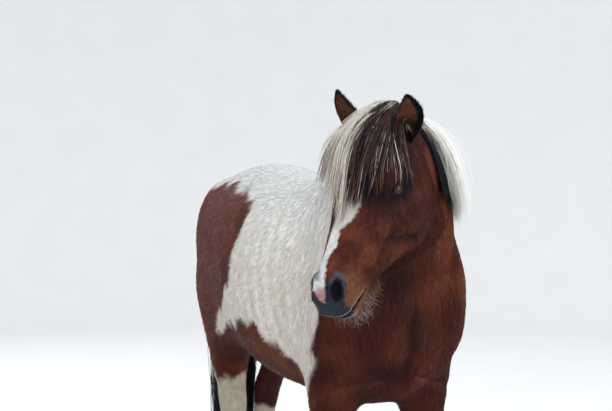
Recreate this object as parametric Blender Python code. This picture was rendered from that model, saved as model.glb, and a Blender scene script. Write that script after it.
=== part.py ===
# A life-size standing model of an Icelandic horse with a pinto winter coat, its head turned to its right.
# Metres, +Z up. The horse faces -Y, and its left side is +X. It stands on the soles of its four hooves.
import math
import random

import bmesh
import bpy
import numpy as np
from mathutils import Vector
from mathutils.bvhtree import BVHTree

# Driving sizes of the whole animal
GAP = 0.0003              # air left between nodes that touch
FLESH_VOXEL = 0.0085      # grain of the flesh where its forms are run together
SOFTEN_ROUNDS, BLEND_ROUNDS = 6, 90

# Grain of the lofted forms: rings along each, and points round each ring
TRUNK_GRID, NECK_GRID, HEAD_GRID, LEG_GRID, TAIL_GRID = (48, 40), (36, 36), (60, 40), (56, 24), (24, 20)
BALL_GRID, EAR_GRID, HOOF_SIDES = (9, 14), (10, 10), 24
BALL_POLE = 0.14          # angle at which a ball's end is cut flat

# Trunk, from tail to chest: forward, top, bottom, widest height, half width, fullness above, fullness below
TRUNK = (
    (-0.790, 1.150, 1.020, 1.08, 0.050, 2.0, 2.0),
    (-0.765, 1.205, 0.930, 1.07, 0.120, 2.0, 2.0),
    (-0.700, 1.264, 0.850, 1.07, 0.195, 2.0, 2.0),
    (-0.580, 1.324, 0.735, 1.08, 0.234, 2.0, 2.0),
    (-0.430, 1.354, 0.685, 1.08, 0.255, 2.0, 2.1),
    (-0.270, 1.345, 0.660, 1.04, 0.272, 2.1, 2.1),
    (-0.060, 1.310, 0.645, 0.99, 0.292, 2.1, 2.1),
    (0.130, 1.318, 0.645, 0.98, 0.284, 2.0, 2.1),
    (0.280, 1.358, 0.650, 0.97, 0.255, 1.8, 2.2),
    (0.400, 1.372, 0.655, 0.97, 0.238, 1.7, 2.3),
    (0.500, 1.330, 0.680, 0.97, 0.230, 1.8, 2.3),
    (0.580, 1.240, 0.740, 0.98, 0.207, 2.0, 2.2),
    (0.645, 1.120, 0.850, 0.99, 0.130, 2.0, 2.0),
)
# Neck, from shoulder to poll: crest point, throat point, half width, heading in degrees to the right
NECK = (
    ((0.000, 0.240, 1.330), (0.000, 0.360, 0.820), 0.150, 0),
    ((0.000, 0.350, 1.385), (0.000, 0.560, 0.900), 0.184, 2),
    ((-0.004, 0.450, 1.430), (0.000, 0.655, 1.010), 0.160, 8),
    ((-0.028, 0.545, 1.470), (-0.012, 0.700, 1.110), 0.124, 18),
    ((-0.072, 0.640, 1.490), (-0.030, 0.715, 1.190), 0.102, 32),
    ((-0.122, 0.715, 1.485), (-0.050, 0.720, 1.245), 0.090, 45),
    ((-0.158, 0.765, 1.455), (-0.085, 0.740, 1.270), 0.077, 52),
)
NECK_FULLNESS = (1.75, 2.1)     # of the rings' upper and lower halves
LEG_FULLNESS = 2.1
# Head frame: place of the poll, heading to the right, pitch below level, roll, all in degrees
POLL = (-0.149, 0.763, 1.461)
HEAD_HEADING, HEAD_PITCH, HEAD_ROLL = 58.6, 56.9, -4.5
# Head, from poll to lip: along, face line, jaw line, widest height, half width, fullness above and below
HEAD = (
    (-0.040, -0.050, -0.125, -0.085, 0.045, 2.0, 2.0),
    (-0.022, -0.024, -0.165, -0.085, 0.066, 2.1, 2.2),
    (0.020, -0.004, -0.216, -0.085, 0.081, 2.2, 2.6),
    (0.080, 0.006, -0.264, -0.085, 0.091, 2.4, 3.2),
    (0.135, 0.008, -0.287, -0.085, 0.098, 2.6, 3.8),
    (0.185, 0.006, -0.290, -0.085, 0.098, 2.6, 3.8),
    (0.236, 0.001, -0.272, -0.085, 0.088, 2.3, 3.4),
    (0.285, -0.003, -0.236, -0.085, 0.076, 2.1, 2.8),
    (0.340, -0.004, -0.202, -0.080, 0.066, 2.0, 2.6),
    (0.400, -0.004, -0.166, -0.072, 0.055, 2.0, 2.5),
    (0.462, -0.005, -0.152, -0.068, 0.048, 2.1, 2.5),
    (0.492, -0.015, -0.145, -0.072, 0.045, 2.2, 2.5),
    (0.512, -0.034, -0.134, -0.082, 0.040, 2.2, 2.5),
    (0.523, -0.062, -0.116, -0.088, 0.024, 2.0, 2.2),
)
# Foreleg and hind leg, from inside the trunk down to the pastern: height, forward, half width, half depth
FORELEG = (
    (1.000, 0.455, 0.062, 0.100),
    (0.880, 0.440, 0.078, 0.112),
    (0.770, 0.425, 0.078, 0.100),
    (0.650, 0.425, 0.068, 0.079),
    (0.540, 0.430, 0.053, 0.058),
    (0.460, 0.436, 0.048, 0.049),
    (0.400, 0.438, 0.050, 0.051),
    (0.350, 0.432, 0.040, 0.043),
    (0.280, 0.428, 0.035, 0.039),
    (0.215, 0.426, 0.036, 0.041),
    (0.170, 0.424, 0.043, 0.048),
    (0.125, 0.440, 0.040, 0.042),
    (0.085, 0.458, 0.045, 0.047),
    (0.050, 0.472, 0.051, 0.055),
    (0.020, 0.484, 0.053, 0.057),
)
HINDLEG = (
    (1.100, -0.500, 0.085, 0.190),
    (0.960, -0.520, 0.098, 0.200),
    (0.840, -0.510, 0.094, 0.170),
    (0.740, -0.528, 0.082, 0.124),
    (0.650, -0.562, 0.067, 0.092),
    (0.570, -0.600, 0.052, 0.074),
    (0.515, -0.614, 0.051, 0.067),
    (0.450, -0.610, 0.045, 0.052),
    (0.380, -0.606, 0.038, 0.044),
    (0.270, -0.604, 0.036, 0.041),
    (0.185, -0.602, 0.043, 0.048),
    (0.130, -0.583, 0.040, 0.042),
    (0.085, -0.564, 0.045, 0.047),
    (0.050, -0.552, 0.051, 0.055),
    (0.020, -0.541, 0.053, 0.057),
)
# How far each leg stands from the middle: heights, then places, for fore and hind
FORE_STANCE = ((0.05, 0.40, 0.65, 0.80, 1.00), (0.124, 0.130, 0.140, 0.146, 0.135))
HIND_STANCE = ((0.05, 0.52, 0.74, 0.90, 1.10), (0.098, 0.104, 0.138, 0.148, 0.130))
# How far each foot is set forward of its place: the right hind foot stands ahead of the left one
FORE_SHIFT = {1: 0.0, -1: 0.0}
HIND_SHIFT = {1: -0.200, -1: 0.060}

# A leg set forwards leans from this far below its top, and has its full shift at about this height
SWING_START, SWING_END = 0.15, 0.55

# Muscles and bones under the coat, on each side: left, forward, up, then the radii the same way
MUSCLES = (
    (0.132, 0.430, 1.060, 0.090, 0.150, 0.260),    # shoulder blade
    (0.118, 0.520, 0.910, 0.104, 0.110, 0.140),    # breast
    (0.140, 0.370, 0.840, 0.085, 0.150, 0.150),    # upper arm
    (0.116, -0.520, 1.100, 0.124, 0.240, 0.210),   # haunch
    (0.105, -0.630, 0.960, 0.108, 0.145, 0.210),   # buttock
    (0.146, -0.430, 0.860, 0.092, 0.140, 0.160),   # stifle
    (0.150, -0.300, 1.150, 0.088, 0.120, 0.100),   # point of hip
)
# Bones of the legs: height, how far forward and outward of the leg's middle, then the three radii
FORE_BONES = (
    (0.405, 0.018, 0.0, 0.044, 0.036, 0.048),      # knee
    (0.390, -0.034, 0.0, 0.024, 0.026, 0.034),     # back of the knee
    (0.178, -0.020, 0.0, 0.034, 0.036, 0.036),     # fetlock
    (0.560, 0.000, 0.020, 0.044, 0.062, 0.120),    # forearm
)
HIND_BONES = (
    (0.588, -0.052, 0.0, 0.022, 0.036, 0.046),     # point of the hock
    (0.530, 0.012, 0.0, 0.048, 0.050, 0.056),      # hock
    (0.190, -0.020, 0.0, 0.035, 0.037, 0.036),     # fetlock
    (0.690, -0.010, 0.012, 0.060, 0.086, 0.130),   # gaskin
)
# Bones and muscles of the head, on each side: along, left, out, then the radii the same way
HEAD_MUSCLES = (
    (0.172, 0.058, -0.172, 0.098, 0.044, 0.112),   # jowl
    (0.160, 0.070, -0.018, 0.050, 0.028, 0.026),   # brow
    (0.262, 0.062, -0.076, 0.084, 0.023, 0.015),   # cheek ridge
    (0.470, 0.028, -0.042, 0.034, 0.019, 0.034),   # wing of the nostril
    (0.478, 0.013, -0.128, 0.036, 0.027, 0.023),   # chin
    (0.464, 0.015, -0.040, 0.048, 0.030, 0.032),   # upper lip
)

# Where the head's skin ends at its sides, back, underside and front: each pair is the run of a soft edge
HEAD_SIDE, HEAD_BACK, HEAD_UNDER, HEAD_FRONT = (0.11, 0.15), (-0.03, 0.03), (-0.35, -0.31), (0.56, 0.60)
HEAD_BACK_TILT = 0.35
MUZZLE_START = 0.42

# Eye: place on the head, ball, thickness of lid and fold, half opening, slant, depth of the skin behind it
EYE = (0.181, 0.0765, -0.044)
EYE_RADIUS = 0.0215
LID, LID_FOLD = 0.0030, 0.0012
EYE_OPENING = (0.0180, 0.0105)
EYE_SLANT = math.radians(14)
EYE_SINK = 0.006
EYE_FIELD = 0.045         # how far the finer skin and the lids reach round an eye
# Nostril: along and out of its middle, half sizes, depth, slant, and height of the wing round it
NOSTRIL = (0.476, -0.041)
NOSTRIL_SIZE = (0.0125, 0.0200)
NOSTRIL_DEPTH = 0.018
NOSTRIL_SLANT = math.radians(-28)
NOSTRIL_RIM = 0.0040
# Mouth: along and out of its front and its corner, depth and half width of the line, bow, swell of the lips
MOUTH_FRONT = (0.518, -0.111)
MOUTH_CORNER = (0.428, -0.112)
MOUTH_DEPTH, MOUTH_WIDTH = 0.0065, 0.0042
MOUTH_BOW, LIP_SWELL = 0.003, 0.0022

# Ears: base on the head, the way each points, length, thickness of the shell, inward hook of the tip
EAR_BASE = (0.030, 0.064, -0.040)
EAR_AXIS = {1: (-0.27, 0.38, 0.88), -1: (-0.37, 0.33, 0.87)}
EAR_OPENING = (0.86, 0.46, 0.23)
EAR_LENGTH = 0.142
EAR_SHELL = 0.004
EAR_HOOK = 0.006
EAR_BERTH = 0.020         # room that locks leave round an ear
# Rows of the ear: share of its length, half width, depth of the cup; then the shell's wrap at base and tip
EAR_ROWS = ((0.00, 0.020, 0.022), (0.18, 0.026, 0.024), (0.38, 0.032, 0.020), (0.58, 0.030, 0.015),
            (0.76, 0.022, 0.010), (0.90, 0.012, 0.006), (1.00, 0.004, 0.003))
EAR_OPEN = (math.radians(150), math.radians(96))
EAR_WRAP_END = 0.45       # share of the length above which the shell wraps no further

# Hooves: coronet height and slope, sole and coronet rings as half width, toe and heel, heights of the rings
CORONET = 0.066
CORONET_SLOPE = math.radians(20)
HOOF_SOLE = (0.061, 0.098, 0.034)
HOOF_TOP = (0.053, 0.058, 0.056)
HOOF_STEPS = (0.0, 0.03, 0.5, 1.0)
HOOF_ROUND = 0.03         # share by which the sole's edge is rounded in

# Tail: the dock and its dense hair as forward, up, half width and half depth
TAIL = (
    (-0.735, 1.195, 0.034, 0.030),
    (-0.790, 1.180, 0.040, 0.034),
    (-0.828, 1.130, 0.046, 0.038),
    (-0.846, 1.050, 0.052, 0.042),
    (-0.852, 0.930, 0.058, 0.044),
    (-0.852, 0.780, 0.056, 0.040),
    (-0.850, 0.640, 0.036, 0.024),
)

# Locks: steps along each, how deep its root is sunk, how far it rises first, the run of its width
LOCK_STEPS = 6
ROOT_DEPTH, ROOT_RISE = 0.010, 0.006
LOCK_WIDTHS = ((0, 0.25, 0.7, 1), (0.35, 1, 0.75, 0.1))
TUFT_WIDTHS = ((0, 0.30, 0.7, 1), (1, 0.9, 0.55, 0.1))
# Each kind of lock: count, length or height of the tip, half width, half thickness, droop, room over the skin
MANE = {"count": 18, "length": (0.34, 0.43), "half": (0.025, 0.033), "thick": 0.0065, "droop": 0.45,
        "room": (0.012, 0.024)}
FORELOCK = {"count": 10, "length": (0.31, 0.37), "half": (0.018, 0.024), "thick": 0.0050, "droop": 0.42,
            "room": (0.009, 0.015, 0.021)}
BEARD = {"count": 7, "length": (0.045, 0.065), "half": (0.006, 0.009), "thick": 0.0035, "droop": 0.30,
         "room": 0.004}
FETLOCK = {"count": 3, "length": (0.070, 0.095), "half": (0.014, 0.019), "thick": 0.0050, "droop": 0.30,
           "room": 0.004}
TAIL_HAIR = {"count": 13, "tips": (0.13, 0.32), "half": (0.020, 0.028), "thick": 0.0070, "droop": 0.35,
             "room": 0.030}
MANE_SPAN = (0.37, 0.80)          # shares of the crest between which the mane grows
MANE_PART = ((0.016, 0.016), (-0.012, 0.004))     # how far left of the crest each layer is rooted
FORELOCK_SPREAD = (-1.0, 0.7)     # from the right edge of the forelock to its left edge
FORELOCK_LOFT = 0.016             # more room under the locks at its right edge
BEARD_SPAN = (0.490, 0.330)       # along the jaw, from chin to cheek
FETLOCK_HEIGHTS, FETLOCK_TURN = (0.160, 0.205), math.radians(60)
TAIL_ROOTS = (0.14, 0.94)         # shares of the tail's length between which its locks are rooted
TAIL_TURN = math.radians(98)
GOLDEN = 0.382                    # share of a turn from one tail lock to the next

# Triangles left on the body, on the face, and on muzzle and eyes
BODY_TRIANGLES, FACE_TRIANGLES, FINE_TRIANGLES = 2700, 630, 1220

# Cuts between nodes: two points down the middle of a cutting plane and its heading, then heights on the legs
NECK_CUT = ((0.000, 0.335, 1.460), (0.000, 0.720, 0.900), 0)
HEAD_CUT = ((-0.114, 0.710, 1.530), (-0.020, 0.748, 1.067), 46)
FORE_CUTS = (0.632, 0.455)
HIND_CUTS = (0.665, 0.470)
SIDE_NAME = {1: "left", -1: "right"}

# Red, green, blue and roughness by the start of a node's name
COLOURS = (
    ("hoof", (0.055, 0.045, 0.036, 0.5)),
    ("eye", (0.010, 0.006, 0.004, 0.05)),
    ("ear", (0.050, 0.022, 0.012, 0.8)),
    ("tail", (0.012, 0.011, 0.011, 0.6)),
    ("torso", (0.620, 0.540, 0.420, 0.8)),
    ("foreleg_left_lower", (0.620, 0.540, 0.420, 0.8)),
    ("foreleg_right_lower", (0.620, 0.540, 0.420, 0.8)),
    ("hindleg_left_lower", (0.620, 0.540, 0.420, 0.8)),
    ("hindleg_right_lower", (0.620, 0.540, 0.420, 0.8)),
    ("", (0.110, 0.030, 0.013, 0.8)),
)


def at(left, forward, up):
    """Row-frame point from distances to the left, forwards and up."""
    return np.array([left, -forward, up], float)


def smooth_rows(rows, count):
    """Rows of sizes read at count even steps along a smooth curve through them all."""
    rows = np.array(rows, float)
    steps = np.r_[0, np.cumsum(np.linalg.norm(np.diff(rows[:, :3], axis=0), axis=1))]
    slopes = np.gradient(rows, steps, axis=0)
    where = np.linspace(0, steps[-1], count)
    low = np.clip(np.searchsorted(steps, where) - 1, 0, len(rows) - 2)
    span = (steps[low + 1] - steps[low])[:, None]
    t = (where - steps[low])[:, None] / span
    return ((2 * t**3 - 3 * t**2 + 1) * rows[low] + (t**3 - 2 * t**2 + t) * span * slopes[low]
            + (3 * t**2 - 2 * t**3) * rows[low + 1] + (t**3 - t**2) * span * slopes[low + 1])


def egg(half_width, above, below, full_above, full_below, count):
    """Closed cross-section as side and height: a superellipse whose upper and lower halves differ."""
    angle = np.linspace(0, 2 * math.pi, count, endpoint=False)
    c, s = np.cos(angle), np.sin(angle)
    full = np.where(s > 0, full_above, full_below)
    side = half_width * np.sign(c) * np.abs(c) ** (2 / full)
    height = np.where(s > 0, above, below) * np.sign(s) * np.abs(s) ** (2 / full)
    return np.stack([side, height], 1)


def loft(rings):
    """Vertices and faces of a closed skin over rings of equal count, with a flat cap at each end."""
    n, m, _ = rings.shape
    index = np.arange(n * m).reshape(n, m)
    a, b = index[:-1], index[1:]
    quads = np.stack([a, np.roll(a, -1, 1), np.roll(b, -1, 1), b], -1).reshape(-1, 4)
    faces = [tuple(int(i) for i in q) for q in quads]
    faces.append(tuple(int(i) for i in index[0][::-1]))
    faces.append(tuple(int(i) for i in index[-1]))
    return rings.reshape(-1, 3), faces


def trunk_form():
    """The barrel, croup and chest."""
    rings = []
    for f, top, bottom, wide, half, above, below in smooth_rows(TRUNK, TRUNK_GRID[0]):
        ring = egg(half, top - wide, wide - bottom, above, below, TRUNK_GRID[1])
        rings.append(np.stack([ring[:, 0], -f + 0 * ring[:, 0], wide + ring[:, 1]], 1))
    return loft(np.array(rings))


def neck_form():
    """The neck, each ring upright between its crest and throat points and turned to its own heading."""
    rows = [(*crest, *throat, half, heading) for crest, throat, half, heading in NECK]
    rings = []
    for row in smooth_rows(rows, NECK_GRID[0]):
        crest, throat = at(*row[0:3]), at(*row[3:6])
        middle, upright = (crest + throat) / 2, (crest - throat) / 2
        turn = math.radians(row[7])
        side = np.array([math.cos(turn), -math.sin(turn), 0])
        ring = egg(row[6], 1, 1, *NECK_FULLNESS, NECK_GRID[1])
        rings.append(middle + ring[:, :1] * side + ring[:, 1:] * upright)
    return loft(np.array(rings))


def head_axes():
    """Unit vectors along the nose, to the head's left, and out of the face."""
    turn, dip, roll = (math.radians(x) for x in (HEAD_HEADING, HEAD_PITCH, HEAD_ROLL))
    ahead = np.array([-math.sin(turn), -math.cos(turn), 0])
    nose = ahead * math.cos(dip) - np.array([0, 0, math.sin(dip)])
    left = np.cross([0, 0, 1.0], ahead)
    face = np.cross(nose, left)
    return nose, left * math.cos(roll) + face * math.sin(roll), face * math.cos(roll) - left * math.sin(roll)


NOSE, HEAD_LEFT, FACE = head_axes()


def on_head(along, left, out):
    """Row-frame point, or points, from head sizes."""
    along, left, out = (np.asarray(x, float)[..., None] for x in (along, left, out))
    return at(*POLL) + along * NOSE + left * HEAD_LEFT + out * FACE


def head_form():
    """Skull and jaws from the poll to the lips."""
    rings = []
    for along, face, jaw, wide, half, above, below in smooth_rows(HEAD, HEAD_GRID[0]):
        ring = egg(half, face - wide, wide - jaw, above, below, HEAD_GRID[1])
        rings.append(on_head(along + 0 * ring[:, 0], ring[:, 0], wide + ring[:, 1]))
    return loft(np.array(rings))


def leg_place(rows, stance, side, shift, z):
    """Left and forward of a leg's middle at height z. shift is how far its foot is set forwards."""
    rows = np.array(rows)[::-1]
    top = rows[-1, 0]
    moved = shift * min(1.0, max(0.0, (top - SWING_START - z) / (top - SWING_END)))
    return side * np.interp(z, *stance), np.interp(z, rows[:, 0], rows[:, 1]) + moved


def leg_form(rows, stance, side, shift):
    """One leg: side is 1 for the left and -1 for the right."""
    rings = []
    for z, f, half, deep in smooth_rows(rows, LEG_GRID[0]):
        left, forward = leg_place(rows, stance, side, shift, z)
        ring = egg(half, deep, deep, LEG_FULLNESS, LEG_FULLNESS, LEG_GRID[1])
        rings.append(np.stack([left + ring[:, 0], -forward - ring[:, 1], z + 0 * ring[:, 0]], 1))
    return loft(np.array(rings))


def ball(centre, radii, axes=None):
    """An ellipsoid whose radii lie along axes, which default to left, forward and up."""
    axes = np.eye(3) if axes is None else np.array(axes)
    polar = np.linspace(BALL_POLE, math.pi - BALL_POLE, BALL_GRID[0])
    around = np.linspace(0, 2 * math.pi, BALL_GRID[1], endpoint=False)
    p, a = np.meshgrid(polar, around, indexing="ij")
    unit = np.stack([np.sin(p) * np.cos(a), np.sin(p) * np.sin(a), np.cos(p)], -1)
    return loft(np.asarray(centre) + (unit * np.array(radii)) @ axes)


def mesh_object(name, parts):
    """One object from vertex and face lists, its faces turned to point outwards."""
    mesh = bpy.data.meshes.new(name)
    points, faces, first = [], [], 0
    for part_points, part_faces in parts:
        points.extend(map(tuple, part_points))
        faces.extend([tuple(i + first for i in face) for face in part_faces])
        first += len(part_points)
    mesh.from_pydata(points, [], faces)
    work = bmesh.new()
    work.from_mesh(mesh)
    bmesh.ops.recalc_face_normals(work, faces=work.faces)
    work.to_mesh(mesh)
    work.free()
    obj = bpy.data.objects.new(name, mesh)
    bpy.context.scene.collection.objects.link(obj)
    return obj


def apply_modifiers(obj):
    """Puts the evaluated mesh in place of the object's own, and drops its modifiers."""
    graph = bpy.context.evaluated_depsgraph_get()
    obj.data = bpy.data.meshes.new_from_object(obj.evaluated_get(graph))
    obj.modifiers.clear()


def points_of(obj):
    """Vertex places as rows."""
    flat = np.empty(len(obj.data.vertices) * 3)
    obj.data.vertices.foreach_get("co", flat)
    return flat.reshape(-1, 3)


def set_points(obj, points):
    """Puts rows of places into the vertices."""
    obj.data.vertices.foreach_set("co", points.astype(np.float32).ravel())
    obj.data.update()


def step(low, high, x):
    """0 below low, 1 above high, and a smooth rise between."""
    t = np.clip((x - low) / (high - low), 0, 1)
    return t * t * (3 - 2 * t)


def head_place(points):
    """Along, left and out of each point, in head sizes."""
    away = points - at(*POLL)
    return away @ NOSE, away @ HEAD_LEFT, away @ FACE


def headness(points):
    """1 on the head in front of the poll and throat, 0 on the rest of the body."""
    along, left, out = head_place(points)
    near = (1 - step(*HEAD_SIDE, np.abs(left))) * (1 - step(*HEAD_FRONT, along))
    return near * step(*HEAD_BACK, along + HEAD_BACK_TILT * out) * step(*HEAD_UNDER, out)


def fine_head(points):
    """Where the head needs the closest skin: muzzle and eyes."""
    along, left, out = head_place(points)
    eye = (np.hypot(along - EYE[0], out - EYE[2]) < EYE_FIELD) & (np.abs(left) > EYE_FIELD)
    return (headness(points) > 0.9) & ((along > MUZZLE_START) | eye)


def weight_group(obj, name, weights):
    """A vertex group that holds the given weights, in sixteen levels."""
    group = obj.vertex_groups.new(name=name)
    levels = np.round(weights * 16).astype(int)
    for level in range(1, 17):
        group.add([int(i) for i in np.flatnonzero(levels == level)], level / 16, "REPLACE")
    return group


def run_together(obj):
    """Fuses the forms into one skin, then softens it, more on the trunk than on head and lower legs."""
    remesh = obj.modifiers.new("fuse", "REMESH")
    remesh.mode = "VOXEL"
    remesh.voxel_size = FLESH_VOXEL
    apply_modifiers(obj)
    points = points_of(obj)
    broad = (1 - headness(points)) * step(0.50, 0.80, points[:, 2])
    weight_group(obj, "broad", broad)
    for name, rounds, group in (("soften", SOFTEN_ROUNDS, ""), ("blend", BLEND_ROUNDS, "broad")):
        soften = obj.modifiers.new(name, "SMOOTH")
        soften.factor = 0.5
        soften.iterations = rounds
        soften.vertex_group = group
    apply_modifiers(obj)


def refine(obj, wanted):
    """Cuts each edge in two where both its ends are wanted."""
    work = bmesh.new()
    work.from_mesh(obj.data)
    edges = [e for e in work.edges if wanted[e.verts[0].index] and wanted[e.verts[1].index]]
    bmesh.ops.subdivide_edges(work, edges=edges, cuts=1, use_grid_fill=True, smooth=0)
    bmesh.ops.triangulate(work, faces=[f for f in work.faces if len(f.verts) > 4])
    work.to_mesh(obj.data)
    work.free()


def sculpt_head(obj):
    """Sinks the nostrils and the line of the mouth, raises their rims, and wraps lids over the eyeballs."""
    points = points_of(obj)
    normals = np.empty(len(points) * 3)
    obj.data.vertices.foreach_get("normal", normals)
    normals = normals.reshape(-1, 3)
    along, left, out = head_place(points)
    on_side = step(0.012, 0.022, np.abs(left)) * step(0.35, 0.40, along)
    # Nostril: a slanting oval pit with a raised wing round it
    a, b = along - NOSTRIL[0], out - NOSTRIL[1]
    turned_a = a * math.cos(NOSTRIL_SLANT) + b * math.sin(NOSTRIL_SLANT)
    turned_b = b * math.cos(NOSTRIL_SLANT) - a * math.sin(NOSTRIL_SLANT)
    reach = np.hypot(turned_a / NOSTRIL_SIZE[0], turned_b / NOSTRIL_SIZE[1])
    move = -NOSTRIL_DEPTH * np.exp(-reach**4) + NOSTRIL_RIM * np.exp(-((reach - 1.45) / 0.38) ** 2)
    # Mouth: a groove from the middle of the lips back to the corner, with full lips beside it
    share = (MOUTH_FRONT[0] - along) / (MOUTH_FRONT[0] - MOUTH_CORNER[0])
    line = MOUTH_FRONT[1] + (MOUTH_CORNER[1] - MOUTH_FRONT[1]) * share
    away = (out - line - MOUTH_BOW * np.sin(math.pi * np.clip(share, 0, 1))) / MOUTH_WIDTH
    groove = LIP_SWELL * np.exp(-((np.abs(away) - 2.4) / 1.2) ** 2) - MOUTH_DEPTH * np.exp(-away**2)
    groove = groove * step(0.30, 0.40, along) * (1 - step(0.92, 1.08, share))
    moved = points + normals * (headness(points) * (on_side * move + groove))[:, None]
    # Eyes: a lid lies on the ball, and inside the opening the skin sinks below the ball's surface
    for side in (-1, 1):
        centre = on_head(EYE[0], side * EYE[1], EYE[2])
        away = moved - centre
        far = np.linalg.norm(away, axis=1)
        a, b = along - EYE[0], out - EYE[2]
        wide = a * math.cos(EYE_SLANT) + b * math.sin(EYE_SLANT)
        high = b * math.cos(EYE_SLANT) - a * math.sin(EYE_SLANT)
        opening = np.hypot(wide / EYE_OPENING[0], high / EYE_OPENING[1])
        outer = (side * left > 0.4 * EYE[1]) & (far < EYE_FIELD)
        lid = EYE_RADIUS + LID + LID_FOLD * np.exp(-((opening - 1.15) / 0.25) ** 2)
        target = np.where(opening < 1, EYE_RADIUS - EYE_SINK, lid)
        target = np.where((opening >= 1) & (far > lid), far, target)
        moved = np.where(outer[:, None], centre + away / far[:, None] * target[:, None], moved)
    set_points(obj, moved)


def make_flesh():
    """The whole body as one skin, finer on the head, with its face sculpted."""
    parts = [trunk_form(), neck_form(), head_form()]
    axes = [NOSE, HEAD_LEFT, FACE]
    for side in (-1, 1):
        parts.append(leg_form(FORELEG, FORE_STANCE, side, FORE_SHIFT[side]))
        parts.append(leg_form(HINDLEG, HIND_STANCE, side, HIND_SHIFT[side]))
        for rows, stance, shifts, bones in ((FORELEG, FORE_STANCE, FORE_SHIFT, FORE_BONES),
                                            (HINDLEG, HIND_STANCE, HIND_SHIFT, HIND_BONES)):
            for z, ahead, outward, *radii in bones:
                left, forward = leg_place(rows, stance, side, shifts[side], z)
                parts.append(ball(at(left + side * outward, forward + ahead, z), radii))
        for left, forward, up, *radii in MUSCLES:
            parts.append(ball(at(side * left, forward, up), radii))
        for along, left, out, *radii in HEAD_MUSCLES:
            parts.append(ball(on_head(along, side * left, out), radii, axes))
    flesh = mesh_object("flesh", parts)
    run_together(flesh)
    refine(flesh, headness(points_of(flesh)) > 0.5)
    refine(flesh, fine_head(points_of(flesh)))
    sculpt_head(flesh)
    return flesh


def triangulate(obj):
    """Splits every face into triangles."""
    work = bmesh.new()
    work.from_mesh(obj.data)
    bmesh.ops.triangulate(work, faces=work.faces)
    work.to_mesh(obj.data)
    work.free()


def face_points(obj):
    """The three corners of each triangle, as vertex numbers."""
    corners = np.empty(len(obj.data.loops), int)
    obj.data.loops.foreach_get("vertex_index", corners)
    return corners.reshape(-1, 3)


def thin_out(obj, chosen, count):
    """Collapses the skin where chosen holds until about count triangles are left there."""
    inside = int(chosen[face_points(obj)].all(1).sum())
    if inside <= count:
        return
    total = len(obj.data.polygons)
    obj.vertex_groups.clear()
    weight_group(obj, "spare", chosen.astype(float))
    thin = obj.modifiers.new("thin", "DECIMATE")
    thin.ratio = (total - inside + count) / total
    thin.vertex_group = "spare"
    thin.vertex_group_factor = 1.0
    apply_modifiers(obj)
    obj.vertex_groups.clear()


def combine(obj, other, operation, solver="EXACT"):
    """Boolean of obj with an object, or with a collection of objects; what it is combined with goes."""
    change = obj.modifiers.new("combine", "BOOLEAN")
    change.operation = operation
    change.solver = solver
    if isinstance(other, bpy.types.Collection):
        change.operand_type = "COLLECTION"
        change.collection = other
        gone = list(other.objects)
    else:
        change.object = other
        gone = [other]
    apply_modifiers(obj)
    for piece in gone:
        bpy.data.objects.remove(piece)
    if isinstance(other, bpy.types.Collection):
        bpy.data.collections.remove(other)


def closed_pieces(obj):
    """Vertices and faces of each part of a mesh that hangs together along simple edges, largest first."""
    triangulate(obj)
    points, faces = points_of(obj), face_points(obj)
    ends = np.sort(np.concatenate([faces[:, [0, 1]], faces[:, [1, 2]], faces[:, [2, 0]]]), axis=1)
    key = ends[:, 0] * len(points) + ends[:, 1]
    order = np.argsort(key, kind="stable")
    first = np.flatnonzero(np.r_[True, np.diff(key[order]) > 0])
    pairs = first[np.diff(np.r_[first, len(key)]) == 2]
    a, b = order[pairs] % len(faces), order[pairs + 1] % len(faces)
    label = np.arange(len(faces))
    while True:
        new = label.copy()
        np.minimum.at(new, a, label[b])
        np.minimum.at(new, b, label[a])
        new = new[new]
        if (new == label).all():
            break
        label = new
    pieces = []
    for name in np.unique(label):
        own, tris = np.unique(faces[label == name], return_inverse=True)
        tris = tris.reshape(-1, 3)
        p, q, r = (points[own][tris[:, k]] for k in range(3))
        volume = abs(np.einsum("ij,ij->i", p, np.cross(q, r)).sum()) / 6
        pieces.append((volume, points[own], tris))
    pieces.sort(key=lambda piece: -piece[0])
    return pieces


def keep_largest(obj):
    """Leaves only the closed surface that holds the most."""
    volume, points, faces = closed_pieces(obj)[0]
    mesh = bpy.data.meshes.new(obj.name)
    mesh.from_pydata(points.tolist(), [], faces.tolist())
    obj.data = mesh


def slab(centre, normal, up, half_wide, half_high):
    """A box as thin as the gap between nodes, flat against normal."""
    normal = np.array(normal, float) / np.linalg.norm(normal)
    up = np.array(up, float) - normal * np.dot(up, normal)
    up /= np.linalg.norm(up)
    wide = np.cross(normal, up)
    corners = ((-1, -1), (1, -1), (1, 1), (-1, 1))
    ring = np.array([wide * half_wide * a + up * half_high * b for a, b in corners])
    rings = np.array([centre + ring - normal * GAP / 2, centre + ring + normal * GAP / 2])
    return loft(rings)


def neck_slab(high, low, heading, half_wide):
    """The cut across the neck that runs from high to low and faces along heading."""
    run = at(*high) - at(*low)
    turn = math.radians(heading)
    across = np.array([math.cos(turn), -math.sin(turn), 0])
    return slab((at(*high) + at(*low)) / 2, np.cross(across, run), run, half_wide, np.linalg.norm(run) / 2)


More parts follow.
